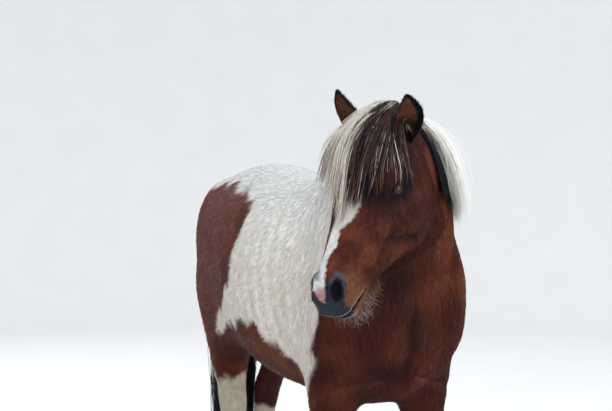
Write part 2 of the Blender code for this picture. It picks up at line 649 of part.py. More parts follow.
def cutting_slabs():
    """Slabs for neck, head, the legs at their top and below knee or hock, and the coronets."""
    slabs = [neck_slab(*NECK_CUT, 0.40), neck_slab(*HEAD_CUT, 0.20)]
    for rows, stance, shifts, cuts in ((FORELEG, FORE_STANCE, FORE_SHIFT, FORE_CUTS),
                                       (HINDLEG, HIND_STANCE, HIND_SHIFT, HIND_CUTS)):
        for side, shift in shifts.items():
            for z in cuts:
                left, forward = leg_place(rows, stance, side, shift, z)
                slabs.append(slab(at(left, forward, z), (0, 0, 1), (0, 1, 0), 0.11, 0.18))
            left, forward = leg_place(rows, stance, side, shift, CORONET)
            tilt = at(0, -math.sin(CORONET_SLOPE), math.cos(CORONET_SLOPE))
            slabs.append(slab(at(left, forward, CORONET), tilt, (0, 1, 0), 0.08, 0.09))
    return slabs


def node_places():
    """A point near the middle of each flesh node."""
    places = {"head": on_head(0.25, 0, -0.10), "neck": at(-0.03, 0.57, 1.25), "torso": at(0, -0.10, 1.0)}
    for name, rows, stance, shifts, cuts in (("foreleg", FORELEG, FORE_STANCE, FORE_SHIFT, FORE_CUTS),
                                             ("hindleg", HINDLEG, HIND_STANCE, HIND_SHIFT, HIND_CUTS)):
        for side, shift in shifts.items():
            which = f"{name}_{SIDE_NAME[side]}"
            for part, high, low in (("upper", *cuts), ("lower", cuts[1], CORONET), ("sole", CORONET, 0.02)):
                z = (high + low) / 2
                left, forward = leg_place(rows, stance, side, shift, z)
                places[f"{which}_{part}"] = at(left, forward, z)
    return places


def divide(flesh):
    """Cuts the flesh into nodes a hair apart and names each by its place."""
    combine(flesh, mesh_object("slabs", cutting_slabs()), "DIFFERENCE")
    nodes = {}
    places = node_places()
    for volume, points, faces in closed_pieces(flesh):
        middle = (points.min(0) + points.max(0)) / 2
        name = min(places, key=lambda n: np.linalg.norm(places[n] - middle))
        if name in nodes or name.endswith("sole"):
            continue
        nodes[name] = mesh_object(name, [(points, faces.tolist())])
    bpy.data.objects.remove(flesh)
    return nodes


def head_direction(direction, side):
    """Unit vector from shares along, left and out of the head, mirrored for the right side."""
    along, left, out = direction
    vector = along * NOSE + side * left * HEAD_LEFT + out * FACE
    return vector / np.linalg.norm(vector)


def ear_form(side):
    """A cupped, pointed shell: each row is an arc round the back of the ear, and the same arc inside it."""
    axis, front = head_direction(EAR_AXIS[side], side), head_direction(EAR_OPENING, side)
    front = front - axis * np.dot(front, axis)
    front /= np.linalg.norm(front)
    across = np.cross(axis, front)
    base = on_head(EAR_BASE[0], side * EAR_BASE[1], EAR_BASE[2])
    inward = -side * HEAD_LEFT * EAR_HOOK
    rings = []
    for share, half, deep in smooth_rows(EAR_ROWS, EAR_GRID[0]):
        spread = EAR_OPEN[0] + (EAR_OPEN[1] - EAR_OPEN[0]) * min(1.0, max(0.0, share) / EAR_WRAP_END)
        angle = np.linspace(-spread, spread, EAR_GRID[1])
        skins = []
        for thin in (0, min(EAR_SHELL, 0.6 * deep)):
            sine, cosine = np.sin(angle)[:, None], np.cos(angle)[:, None]
            arc = sine * across * (half - thin) - cosine * front * (deep - thin)
            skins.append(base + axis * EAR_LENGTH * share + inward * max(0.0, share) ** 2 + arc)
        rings.append(np.concatenate([skins[0], skins[1][::-1]]))
    return loft(np.array(rings))


def hoof_form(rows, stance, side, shift):
    """A hoof whose wall runs from the flat sole up to the sloping coronet."""
    left, forward = leg_place(rows, stance, side, shift, CORONET)
    angle = np.linspace(0, 2 * math.pi, HOOF_SIDES, endpoint=False)
    c, s = np.cos(angle), np.sin(angle)

    def ring(half, toe, heel):
        return np.stack([half * c, np.where(s > 0, toe, heel) * s], 1)

    sole, top = ring(*HOOF_SOLE), ring(*HOOF_TOP)
    height = CORONET + math.tan(CORONET_SLOPE) * top[:, 1] - GAP / 2 / math.cos(CORONET_SLOPE)
    rings = []
    for share in HOOF_STEPS:
        flat = sole + (top - sole) * share
        flat = flat * (1 - HOOF_ROUND * (share == 0))
        rings.append(np.stack([left + flat[:, 0], -forward - flat[:, 1], height * share], 1))
    return loft(np.array(rings))


def tail_form():
    """The dock and the dense hair round it, swept along the line of the tail."""
    rows = smooth_rows(TAIL, TAIL_GRID[0])
    way = np.gradient(rows[:, :2], axis=0)
    way /= np.linalg.norm(way, axis=1)[:, None]
    rings = []
    for (forward, up, half, deep), (run, rise) in zip(rows, way):
        ring = egg(half, deep, deep, 2.0, 2.0, TAIL_GRID[1])
        rings.append(np.stack([ring[:, 0], -forward - rise * ring[:, 1], up - run * ring[:, 1]], 1))
    return loft(np.array(rings))


def swollen_copy(obj, amount):
    """A copy of obj whose skin stands out by amount."""
    copy = bpy.data.objects.new(obj.name + "_copy", obj.data.copy())
    bpy.context.scene.collection.objects.link(copy)
    normals = np.empty(len(copy.data.vertices) * 3)
    copy.data.vertices.foreach_get("normal", normals)
    set_points(copy, points_of(copy) + normals.reshape(-1, 3) * amount)
    return copy


class Surface:
    """Closed skins to lay locks over."""

    def __init__(self, objects):
        points, faces, first = [], [], 0
        for obj in objects:
            points.extend(points_of(obj).tolist())
            faces.extend([[i + first for i in face.vertices] for face in obj.data.polygons])
            first = len(points)
        self.tree = BVHTree.FromPolygons(points, faces)

    def hit(self, start, way):
        """Where a ray from start first meets the skin, and which way that skin faces."""
        place, normal, index, far = self.tree.ray_cast(Vector(start), Vector(way))
        if place is None:
            return None, None
        return np.array(place), np.array(normal)

    def clear_of(self, point, room):
        """The point moved out until it stands room off the skin, and which way is out there."""
        place, normal, index, far = self.tree.find_nearest(Vector(point))
        place, normal = np.array(place), np.array(normal)
        away = point - place
        height = away @ normal
        if height < 0 or np.linalg.norm(away) < room:
            point = place + normal * room
        return point, normal


def drape(surface, root, out, way, length, droop, room):
    """Path of a lock from under the skin at root, falling from its first way and clear of the skin."""
    stride = length / LOCK_STEPS
    points, facings = [root - out * ROOT_DEPTH, root + out * ROOT_RISE], [out, out]
    way = way / np.linalg.norm(way)
    for i in range(LOCK_STEPS - 1):
        way = way + droop * np.array([0, 0, -1.0])
        way /= np.linalg.norm(way)
        point, facing = surface.clear_of(points[-1] + way * stride, room * min(1.0, 0.5 + 0.5 * i))
        way = (point - points[-1]) / np.linalg.norm(point - points[-1])
        points.append(point)
        facings.append(facing)
    points, facings = np.array(points), np.array(facings)
    for i in range(3):
        facings[1:-1] = (facings[:-2] + 2 * facings[1:-1] + facings[2:]) / 4
    return points, facings / np.linalg.norm(facings, axis=1)[:, None]


def lock_form(path, facings, half_width, half_thick, widths=LOCK_WIDTHS):
    """A flat lock with a lens-shaped section, drawn to a point at its tip."""
    way = np.gradient(path, axis=0)
    way /= np.linalg.norm(way, axis=1)[:, None]
    across = np.cross(way, facings)
    across[0] = across[1]
    across /= np.linalg.norm(across, axis=1)[:, None]
    thick = np.cross(across, way)
    share = np.linspace(0, 1, len(path))
    size = np.interp(share, *widths)
    w, t = (half_width * size)[:, None], (half_thick * size)[:, None]
    rings = np.stack([path + across * w, path + thick * t, path - across * w, path - thick * t], 1)
    points, faces = loft(rings[:-1])
    tip = len(points)
    last = tip - 4
    faces = faces[:-1] + [(last + k, last + (k + 1) % 4, tip) for k in range(4)]
    return np.vstack([points, path[-1]]), faces


def add_locks(node, locks):
    """Fuses the locks into the node they grow from."""
    bunch = bpy.data.collections.new("locks")
    bpy.context.scene.collection.children.link(bunch)
    for i, lock in enumerate(locks):
        obj = mesh_object(f"lock_{i:03d}", [lock])
        bpy.context.scene.collection.objects.unlink(obj)
        bunch.objects.link(obj)
    combine(node, bunch, "UNION", "MANIFOLD")
    keep_largest(node)


def mane_locks(surface):
    """Locks along the crest, laid over to the left: an under layer close to the neck and one over it."""
    rows = smooth_rows([(*crest, heading) for crest, throat, half, heading in NECK], 60)
    locks = []
    for i in range(MANE["count"]):
        share = MANE_SPAN[0] + (MANE_SPAN[1] - MANE_SPAN[0]) * (i + random.random()) / MANE["count"]
        left, forward, up, heading = rows[int(share * len(rows))]
        turn = math.radians(heading)
        across = np.array([math.cos(turn), -math.sin(turn), 0])
        layer = i % 2
        start = at(left, forward, up + 0.1) + across * random.uniform(*MANE_PART[layer])
        root, out = surface.hit(start, (0, 0, -1))
        way = across + np.array([0, 0, (0.1, 0.5)[layer]]) + at(0, random.uniform(-0.25, 0.15), 0)
        length = random.uniform(*MANE["length"]) * (0.75 + 0.25 * math.sin(math.pi * share))
        path, facings = drape(surface, root, out, way, length, MANE["droop"], MANE["room"][layer])
        locks.append(lock_form(path, facings, random.uniform(*MANE["half"]), MANE["thick"]))
    return locks


def forelock_locks(surface):
    """Locks that fan out from between the ears over the forehead, eyes and cheeks."""
    locks = []
    for i in range(FORELOCK["count"]):
        share = (i + random.random()) / FORELOCK["count"]
        place = FORELOCK_SPREAD[0] + (FORELOCK_SPREAD[1] - FORELOCK_SPREAD[0]) * share
        along = random.uniform(-0.012, 0.022)
        root, out = surface.hit(on_head(along, 0.018 * place, 0.1), -FACE)
        way = 0.42 * place * HEAD_LEFT + 0.75 * NOSE + 0.35 * FACE
        length = random.uniform(*FORELOCK["length"]) * (1 - 0.10 * place**2)
        room = random.choice(FORELOCK["room"]) + FORELOCK_LOFT * max(0.0, -place)
        path, facings = drape(surface, root, out, way, length, FORELOCK["droop"], room)
        locks.append(lock_form(path, facings, random.uniform(*FORELOCK["half"]), FORELOCK["thick"]))
    return locks


def beard_locks(surface):
    """Thin tufts that hang from the chin and the jaw."""
    locks = []
    for i in range(BEARD["count"]):
        along = BEARD_SPAN[0] + (BEARD_SPAN[1] - BEARD_SPAN[0]) * i / (BEARD["count"] - 1)
        root, out = surface.hit(on_head(along, random.uniform(-0.016, 0.020), -0.40), FACE)
        way = 0.5 * out - np.array([0, 0, 0.8]) + 0.3 * random.uniform(-1, 1) * HEAD_LEFT
        length = random.uniform(*BEARD["length"])
        path, facings = drape(surface, root, out, way, length, BEARD["droop"], BEARD["room"])
        half = random.uniform(*BEARD["half"])
        locks.append(lock_form(path, HEAD_LEFT + 0 * path, half, BEARD["thick"], TUFT_WIDTHS))
    return locks


def fetlock_locks(surface, rows, stance, side, shift):
    """Tufts behind one fetlock."""
    locks = []
    for i in range(FETLOCK["count"]):
        z = random.uniform(*FETLOCK_HEIGHTS)
        left, forward = leg_place(rows, stance, side, shift, z)
        turn = FETLOCK_TURN * (2 * i / (FETLOCK["count"] - 1) - 1)
        away = at(math.sin(turn), -math.cos(turn), 0)
        root, out = surface.hit(at(left, forward, z) + away * 0.12, -away)
        way = 0.35 * away + np.array([0, 0, -1.0])
        length = random.uniform(*FETLOCK["length"])
        path, facings = drape(surface, root, out, way, length, FETLOCK["droop"], FETLOCK["room"])
        half = random.uniform(*FETLOCK["half"])
        locks.append(lock_form(path, facings, half, FETLOCK["thick"], TUFT_WIDTHS))
    return locks


def tail_locks(surface, core):
    """Long locks all round the dense core of the tail, hanging to their own lengths."""
    rows = smooth_rows(TAIL, 40)
    locks = []
    for i in range(TAIL_HAIR["count"]):
        share = TAIL_ROOTS[0] + (TAIL_ROOTS[1] - TAIL_ROOTS[0]) * (i + random.random()) / TAIL_HAIR["count"]
        forward, up, half, deep = rows[int(share * len(rows))]
        turn = TAIL_TURN * (2 * ((i * GOLDEN + 0.05 * random.random()) % 1) - 1)
        away = at(math.sin(turn), -math.cos(turn), 0)
        root, out = core.hit(at(0, forward, up) + away * 0.2, -away)
        way = 0.18 * away + np.array([0, 0, -1.0])
        length = up - random.uniform(*TAIL_HAIR["tips"])
        path, facings = drape(surface, root, out, way, length, TAIL_HAIR["droop"], TAIL_HAIR["room"])
        locks.append(lock_form(path, away + 0 * path, random.uniform(*TAIL_HAIR["half"]), TAIL_HAIR["thick"]))
    return locks


def colour(obj, red, green, blue, rough):
    """Gives the object a material of its own."""
    material = bpy.data.materials.new(obj.name)
    material.use_nodes = True
    shader = material.node_tree.nodes["Principled BSDF"]
    shader.inputs["Base Color"].default_value = (red, green, blue, 1)
    shader.inputs["Roughness"].default_value = rough
    obj.data.materials.clear()
    obj.data.materials.append(material)


for old in list(bpy.data.objects):
    bpy.data.objects.remove(old)
random.seed(11)

flesh = make_flesh()
triangulate(flesh)
points = points_of(flesh)
thin_out(flesh, headness(points) < 0.5, BODY_TRIANGLES)
points = points_of(flesh)
thin_out(flesh, (headness(points) >= 0.5) & ~fine_head(points), FACE_TRIANGLES)
thin_out(flesh, fine_head(points_of(flesh)), FINE_TRIANGLES)
nodes = divide(flesh)

for side, name in SIDE_NAME.items():
    centre = on_head(EYE[0], side * EYE[1], EYE[2])
    socket = mesh_object("socket", [ball(centre, [EYE_RADIUS + GAP] * 3)])
    combine(nodes["head"], socket, "DIFFERENCE")
    nodes[f"eye_{name}"] = mesh_object(f"eye_{name}", [ball(centre, [EYE_RADIUS] * 3)])
keep_largest(nodes["head"])
for side, name in SIDE_NAME.items():
    ear = mesh_object(f"ear_{name}", [ear_form(side)])
    combine(ear, swollen_copy(nodes["head"], GAP), "DIFFERENCE")
    keep_largest(ear)
    nodes[ear.name] = ear
    for leg, rows, stance, shifts in (("fore", FORELEG, FORE_STANCE, FORE_SHIFT),
                                      ("hind", HINDLEG, HIND_STANCE, HIND_SHIFT)):
        hoof = mesh_object(f"hoof_{leg}_{name}", [hoof_form(rows, stance, side, shifts[side])])
        nodes[hoof.name] = hoof
tail = mesh_object("tail", [tail_form()])
combine(tail, swollen_copy(nodes["torso"], GAP), "DIFFERENCE")
keep_largest(tail)
wide_ears = [swollen_copy(nodes[f"ear_{name}"], EAR_BERTH) for name in SIDE_NAME.values()]
body = Surface(list(nodes.values()) + wide_ears)
for ear in wide_ears:
    bpy.data.objects.remove(ear)
tail_surface = Surface([tail])
nodes["tail"] = tail

add_locks(nodes["neck"], mane_locks(body))
add_locks(nodes["head"], forelock_locks(body) + beard_locks(body))
add_locks(nodes["tail"], tail_locks(body, tail_surface))
for side, name in SIDE_NAME.items():
    for leg, rows, stance, shifts in (("foreleg", FORELEG, FORE_STANCE, FORE_SHIFT),
                                      ("hindleg", HINDLEG, HIND_STANCE, HIND_SHIFT)):
        add_locks(nodes[f"{leg}_{name}_lower"], fetlock_locks(body, rows, stance, side, shifts[side]))

# The origin moves to the middle of the soles' level, under the middle of the whole
points = np.vstack([points_of(obj) for obj in nodes.values()])
shift = (points.min(0) + points.max(0)) / 2
shift[2] = points[:, 2].min()
for name, obj in nodes.items():
    set_points(obj, points_of(obj) - shift)
    obj.data.shade_smooth()
    colour(obj, *next(value for key, value in COLOURS if name.startswith(key)))
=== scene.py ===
import itertools
import math

import bmesh
import bpy
import numpy as np
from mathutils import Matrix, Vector
from mathutils.bvhtree import BVHTree


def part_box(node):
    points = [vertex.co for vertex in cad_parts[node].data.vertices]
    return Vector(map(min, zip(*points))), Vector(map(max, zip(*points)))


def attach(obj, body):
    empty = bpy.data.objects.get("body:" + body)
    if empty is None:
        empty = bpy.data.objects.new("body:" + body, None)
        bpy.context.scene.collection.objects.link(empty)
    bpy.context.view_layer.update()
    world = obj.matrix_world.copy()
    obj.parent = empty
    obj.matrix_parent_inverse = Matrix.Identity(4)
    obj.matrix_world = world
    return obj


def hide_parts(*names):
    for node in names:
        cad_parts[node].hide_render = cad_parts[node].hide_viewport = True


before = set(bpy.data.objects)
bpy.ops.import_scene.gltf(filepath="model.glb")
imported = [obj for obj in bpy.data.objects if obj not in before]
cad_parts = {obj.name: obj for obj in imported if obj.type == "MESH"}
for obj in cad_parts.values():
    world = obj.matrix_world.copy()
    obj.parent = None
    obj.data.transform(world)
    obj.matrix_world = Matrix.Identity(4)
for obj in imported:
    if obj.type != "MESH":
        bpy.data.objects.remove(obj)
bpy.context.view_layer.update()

# The hide
# The horse's skin, thin and supple over fat and muscle, lies under the hair by the coat's depth. It is one
# closed surface: trunk, neck, head and legs lofted from the same rows of sizes as the solids, run together,
# softened, and sculpted on chest and face. Sizes are in metres, and left, forward and up are the horse's.
TRUNK = (          # forward, top, bottom, height where it is widest, half width, fullness above and below
    (-0.790, 1.150, 1.020, 1.08, 0.050, 2.0, 2.0),
    (-0.765, 1.205, 0.930, 1.07, 0.120, 2.0, 2.0),
    (-0.700, 1.264, 0.850, 1.07, 0.195, 2.0, 2.0),
    (-0.580, 1.324, 0.735, 1.08, 0.234, 2.0, 2.0),
    (-0.430, 1.354, 0.685, 1.08, 0.255, 2.0, 2.1),
    (-0.270, 1.345, 0.660, 1.04, 0.272, 2.1, 2.1),
    (-0.060, 1.310, 0.645, 0.99, 0.292, 2.1, 2.1),
    (0.130, 1.318, 0.645, 0.98, 0.284, 2.0, 2.1),
    (0.280, 1.358, 0.650, 0.97, 0.255, 1.8, 2.2),
    (0.400, 1.372, 0.655, 0.97, 0.238, 1.7, 2.3),
    (0.500, 1.330, 0.680, 0.97, 0.230, 1.8, 2.3),
    (0.580, 1.240, 0.740, 0.98, 0.207, 2.0, 2.2),
    (0.645, 1.120, 0.850, 0.99, 0.130, 2.0, 2.0),
)
NECK = (           # crest and throat as left, forward and up, half width, turn to the right
    ((0.000, 0.240, 1.330), (0.000, 0.360, 0.820), 0.150, 0),
    ((0.000, 0.350, 1.385), (0.000, 0.560, 0.900), 0.184, 2),
    ((-0.004, 0.450, 1.430), (0.000, 0.655, 1.010), 0.160, 8),
    ((-0.028, 0.545, 1.470), (-0.012, 0.700, 1.110), 0.124, 18),
    ((-0.072, 0.640, 1.490), (-0.030, 0.715, 1.190), 0.102, 32),
    ((-0.122, 0.715, 1.485), (-0.050, 0.720, 1.245), 0.090, 45),
    ((-0.158, 0.765, 1.455), (-0.085, 0.740, 1.270), 0.077, 52),
)
NECK_FULLNESS, LEG_FULLNESS = (1.75, 2.1), 2.1
POLL = (-0.149, 0.763, 1.461)
HEAD_HEADING, HEAD_PITCH, HEAD_ROLL = 58.6, 56.9, -4.5
HEAD = (           # along from the poll, face, jaw, out where it is widest, half width, fullness over and under
    (-0.040, -0.050, -0.125, -0.085, 0.045, 2.0, 2.0),
    (-0.022, -0.024, -0.165, -0.085, 0.066, 2.1, 2.2),
    (0.020, -0.004, -0.216, -0.085, 0.081, 2.2, 2.6),
    (0.080, 0.006, -0.264, -0.085, 0.091, 2.4, 3.2),
    (0.135, 0.008, -0.287, -0.085, 0.098, 2.6, 3.8),
    (0.185, 0.006, -0.290, -0.085, 0.098, 2.6, 3.8),
    (0.236, 0.001, -0.272, -0.085, 0.088, 2.3, 3.4),
    (0.285, -0.003, -0.236, -0.085, 0.076, 2.1, 2.8),
    (0.340, -0.004, -0.202, -0.080, 0.066, 2.0, 2.6),
    (0.400, -0.004, -0.168, -0.076, 0.055, 2.0, 3.0),
    (0.462, -0.005, -0.156, -0.076, 0.049, 2.1, 3.6),
    (0.492, -0.015, -0.144, -0.080, 0.046, 2.2, 3.4),
    (0.512, -0.034, -0.116, -0.080, 0.041, 2.2, 2.6),
    (0.523, -0.060, -0.098, -0.080, 0.028, 2.0, 2.0),
)
FORELEG = (        # up, forward, half width, half depth
    (1.000, 0.455, 0.062, 0.100),
    (0.880, 0.440, 0.078, 0.112),
    (0.770, 0.425, 0.078, 0.100),
    (0.650, 0.425, 0.068, 0.079),
    (0.540, 0.430, 0.053, 0.058),
    (0.460, 0.436, 0.048, 0.049),
    (0.400, 0.438, 0.050, 0.051),
    (0.350, 0.432, 0.040, 0.043),
    (0.280, 0.428, 0.035, 0.039),
    (0.215, 0.426, 0.036, 0.041),
    (0.170, 0.424, 0.043, 0.048),
    (0.125, 0.440, 0.040, 0.042),
    (0.085, 0.458, 0.045, 0.047),
    (0.048, 0.473, 0.049, 0.053),
)
HINDLEG = (        # the same
    (1.100, -0.500, 0.085, 0.190),
    (0.960, -0.520, 0.098, 0.200),
    (0.840, -0.510, 0.094, 0.170),
    (0.740, -0.528, 0.082, 0.124),
    (0.650, -0.562, 0.067, 0.092),
    (0.570, -0.600, 0.052, 0.074),
    (0.515, -0.614, 0.051, 0.067),
    (0.450, -0.610, 0.045, 0.052),
    (0.380, -0.606, 0.038, 0.044),
    (0.270, -0.604, 0.036, 0.041),
    (0.185, -0.602, 0.043, 0.048),
    (0.130, -0.583, 0.040, 0.042),
    (0.085, -0.564, 0.045, 0.047),
    (0.048, -0.551, 0.049, 0.053),
)
# Heights, and how far each leg's middle is from the horse's there; then how far each foot is set forwards
FORE_STANCE = ((0.05, 0.40, 0.65, 0.80, 1.00), (0.124, 0.130, 0.140, 0.146, 0.135))
HIND_STANCE = ((0.05, 0.52, 0.74, 0.90, 1.10), (0.098, 0.104, 0.138, 0.148, 0.130))
FORE_SHIFT = {1: 0.0, -1: 0.0}            # 1 is the left leg and -1 the right
HIND_SHIFT = {1: -0.200, -1: 0.060}
SWING_START, SWING_END = 0.15, 0.55       # how far below its top a leg starts to swing, and where that is full
MUSCLES = (        # left, forward, up, and the half sizes that way
    (0.132, 0.430, 1.060, 0.090, 0.150, 0.260),    # shoulder blade
    (0.118, 0.520, 0.910, 0.104, 0.110, 0.140),    # breast
    (0.140, 0.370, 0.840, 0.085, 0.150, 0.150),    # upper arm
    (0.116, -0.520, 1.100, 0.124, 0.240, 0.210),   # haunch
    (0.105, -0.630, 0.960, 0.108, 0.145, 0.210),   # buttock
    (0.146, -0.430, 0.860, 0.092, 0.140, 0.160),   # stifle
    (0.150, -0.300, 1.150, 0.088, 0.120, 0.100),   # point of hip
)
FORE_BONES = (     # up, ahead and outwards of the leg's middle, and the half sizes
    (0.405, 0.018, 0.0, 0.044, 0.036, 0.048),      # knee
    (0.390, -0.034, 0.0, 0.024, 0.026, 0.034),     # back of the knee
    (0.178, -0.020, 0.0, 0.034, 0.036, 0.036),     # fetlock
    (0.560, 0.000, 0.020, 0.044, 0.062, 0.120),    # forearm
)
HIND_BONES = (
    (0.588, -0.052, 0.0, 0.022, 0.036, 0.046),     # point of the hock
    (0.530, 0.012, 0.0, 0.048, 0.050, 0.056),      # hock
    (0.190, -0.020, 0.0, 0.035, 0.037, 0.036),     # fetlock
    (0.690, -0.010, 0.012, 0.060, 0.086, 0.130),   # gaskin
)
LEG_KINDS = (("fore", FORELEG, FORE_STANCE, FORE_SHIFT, FORE_BONES),
             ("hind", HINDLEG, HIND_STANCE, HIND_SHIFT, HIND_BONES))
HEAD_MUSCLES = (   # along, left and out on the head, and the half sizes
    (0.172, 0.058, -0.172, 0.098, 0.044, 0.112),   # jowl
    (0.160, 0.070, -0.018, 0.050, 0.028, 0.026),   # brow
    (0.262, 0.062, -0.076, 0.084, 0.023, 0.015),   # cheek ridge
    (0.474, 0.028, -0.034, 0.034, 0.019, 0.034),   # wing of the nostril
    (0.464, 0.020, -0.132, 0.035, 0.028, 0.022),   # chin
    (0.464, 0.015, -0.040, 0.048, 0.030, 0.032),   # upper lip
)
# Where the head's skin passes into the neck's, on each side of the head
HEAD_SIDE, HEAD_BACK, HEAD_UNDER, HEAD_FRONT = (0.11, 0.15), (-0.03, 0.03), (-0.35, -0.31), (0.56, 0.60)
HEAD_BACK_TILT = 0.35
# Eyes, nostrils and mouth: places and directions are along, left and out on the head
EYE = (0.181, 0.0765, -0.044)
EYE_RADIUS, LID, LID_FOLD, EYE_SINK = 0.0215, 0.0030, 0.0014, 0.006
EYE_OPENING = (0.0185, 0.0118)
EYE_SLANT = math.radians(14)
EYE_FIELD, LID_FIELD = 0.045, 0.032
# Folds of a lid, as shares of the way from the eye's middle to its opening: middle and width of each
LID_EDGE, LID_GROOVE, LID_SWELL, LID_CREASE = (1.14, 0.16), (1.62, 0.14), (1.95, 0.18), 0.0012
NOSTRIL, NOSTRIL_FACING, NOSTRIL_RUN = (0.482, 0.034, -0.023), (0.28, 0.73, 0.63), (0.78, 0.21, -0.59)
NOSTRIL_SIZE, NOSTRIL_DEPTH, NOSTRIL_RIM, NOSTRIL_BEND = (0.0215, 0.0125), 0.020, 0.0036, (9.0, 0.35)
NOSTRIL_FIELD = (0.030, 0.020)        # how deep under its plane a nostril's shape and colour fade out
MOUTH_FRONT, MOUTH_CORNER = (0.520, -0.096), (0.428, -0.1155)
MOUTH_DEPTH, MOUTH_WIDTH, MOUTH_BOW, LIP_SWELL = 0.0085, (0.0046, 0.0058), 0.001, 0.0026
MOUTH_FIELD = (0.30, 0.40)            # how far along the head the mouth's shape and colour fade in
MUZZLE_START, MUZZLE_END = 0.40, 0.30         # where the muzzle's fine skin starts, and where the eyes' ends
# Bones under thin skin on the head: height, slope and place of the cheek ridge, then its hollow underneath
CHEEK_RIDGE, RIDGE_WIDTH, RIDGE_HOLLOW = (0.0030, 0.20, 0.25, -0.068), 0.009, (-0.026, 0.014)
# The crease between cheek and jowl: its middle along and out, and its direction
CREASE_PLACE, CREASE_WAY = (0.274, -0.128), (0.825, 0.565)
CREASE_SIDE, CREASE_END = (0.030, 0.048), (0.062, 0.034)
CREASE_GROOVE, CREASE_SWELL = (-0.0065, 0, 0.0085), (0.0055, 0.030, 0.020)
THROAT_PIT = (-0.014, (0.004, 0.012), (-0.072, 0.022))
EYE_HOLLOW, EYE_HOLLOW_SIZE, EYE_HOLLOW_DEPTH = (-0.042, 0.020), (0.020, 0.014), 0.0045
# Furrows and folds of the chest: height of each, then its middle and width to the left, forwards or up
BREAST, BREAST_FURROW = (0.45, 0.56), (-0.016, (0.004, 0.022), (0.80, 0.11))
LEG_FOLD_LINE, LEG_FOLD, LEG_FOLD_SWELL = (0.735, 0.30, 0.12), (-0.010, 0.014), (0.006, 0.035, 0.020)
SIDE_RIPPLE, RIPPLE_WIDTH, RIPPLE_LEAN, RIPPLE_PLACE = 0.0028, 0.062, 0.20, (0.20, 0.14)
ELBOW_HOLLOW = (-0.006, (0.27, 0.05), (0.80, 0.12))
SMOOTH_ALL, SMOOTH_BODY, SMOOTH_LEVELS = 6, 72, 16
VOXEL = 0.0104            # grain of the hide on the body; the head is cut two to four times finer
COAT_DEPTH = 0.006        # how far the hide lies under the tips of the coat on the body
FACE_DEPTH = 0.002        # and on the head and lower legs


def frame_turn():
    """Unit vectors along the nose, to the head's left and out of the face, from heading, pitch and roll."""
    turn, dip, roll = (math.radians(x) for x in (HEAD_HEADING, HEAD_PITCH, HEAD_ROLL))
    ahead = np.array([-math.sin(turn), -math.cos(turn), 0])
    nose = ahead * math.cos(dip) - np.array([0, 0, math.sin(dip)])
    left = np.cross([0, 0, 1.0], ahead)
    face = np.cross(nose, left)
    return nose, left * math.cos(roll) + face * math.sin(roll), face * math.cos(roll) - left * math.sin(roll)


NOSE, HEAD_LEFT, FACE = frame_turn()
left_eye = np.array(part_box("eye_left")).mean(0)
POLL_PLACE = left_eye - EYE[0] * NOSE - EYE[1] * HEAD_LEFT - EYE[2] * FACE
ORIGIN = np.array([POLL[0], -POLL[1], POLL[2]]) - POLL_PLACE


def at(left, forward, up):
    """Places in the frame from distances to the left, forwards and up, which may be arrays."""
    left, forward, up = np.broadcast_arrays(left, forward, up)
    return np.stack([left, -forward, up], -1) - ORIGIN


def sizes_of(places):
    """Left, forward and up of places in the frame: the reverse of at."""
    moved = places + ORIGIN
    return moved[..., 0], -moved[..., 1], moved[..., 2]


def on_head(along, left, out):
    """Places in the frame from head sizes."""
    along, left, out = (np.asarray(x, float)[..., None] for x in (along, left, out))
    return POLL_PLACE + along * NOSE + left * HEAD_LEFT + out * FACE


def head_sizes(places):
    """Along, left and out of places, in head sizes: the reverse of on_head."""
    away = places - POLL_PLACE
    return away @ NOSE, away @ HEAD_LEFT, away @ FACE


def step(low, high, x):
    """0 below low, 1 above high, and the cubic 3t^2 - 2t^3 between."""
    t = np.clip((x - low) / (high - low), 0, 1)
    return t * t * (3 - 2 * t)


def smooth_rows(rows, count):
    """Rows of sizes read at even steps along the cubic Hermite curve through them all."""
    rows = np.array(rows, float)
    steps = np.r_[0, np.cumsum(np.linalg.norm(np.diff(rows[:, :3], axis=0), axis=1))]
    slopes = np.gradient(rows, steps, axis=0)
    where = np.linspace(0, steps[-1], count)
    low = np.clip(np.searchsorted(steps, where) - 1, 0, len(rows) - 2)
    span = (steps[low + 1] - steps[low])[:, None]
    t = (where - steps[low])[:, None] / span
    return ((2 * t**3 - 3 * t**2 + 1) * rows[low] + (t**3 - 2 * t**2 + t) * span * slopes[low]
            + (3 * t**2 - 2 * t**3) * rows[low + 1] + (t**3 - t**2) * span * slopes[low + 1])


def columns(rows, count):
    """The smooth rows as columns, ready to spread over a grid."""
    return smooth_rows(rows, count).T[:, :, None]


def egg(half_width, above, below, full_above, full_below, count):
    """Side and height round a superellipse |x/a|^n + |y/b|^n = 1 whose upper and lower halves differ."""
    angle = np.linspace(0, 2 * math.pi, count, endpoint=False)
    c, s = np.cos(angle), np.sin(angle)
    full = np.where(s > 0, full_above, full_below)
    return (half_width * np.sign(c) * np.abs(c) ** (2 / full),
            np.where(s > 0, above, below) * np.sign(s) * np.abs(s) ** (2 / full))


def loft(rings):
    """Points and faces of a closed surface over a grid of rings, with a flat cap at each end."""
    n, m, _ = rings.shape
    index = np.arange(n * m).reshape(n, m)
    a, b = index[:-1], index[1:]
    quads = np.stack([a, np.roll(a, -1, 1), np.roll(b, -1, 1), b], -1).reshape(-1, 4)
    return rings.reshape(-1, 3), quads.tolist() + [index[0][::-1].tolist(), index[-1].tolist()]


def trunk_form():
    """The barrel, croup and chest: an egg across each row."""
    forward, top, bottom, wide, half, above, below = columns(TRUNK, 48)
    side, high = egg(half, top - wide, wide - bottom, above, below, 40)
    return loft(at(side, forward, wide + high))


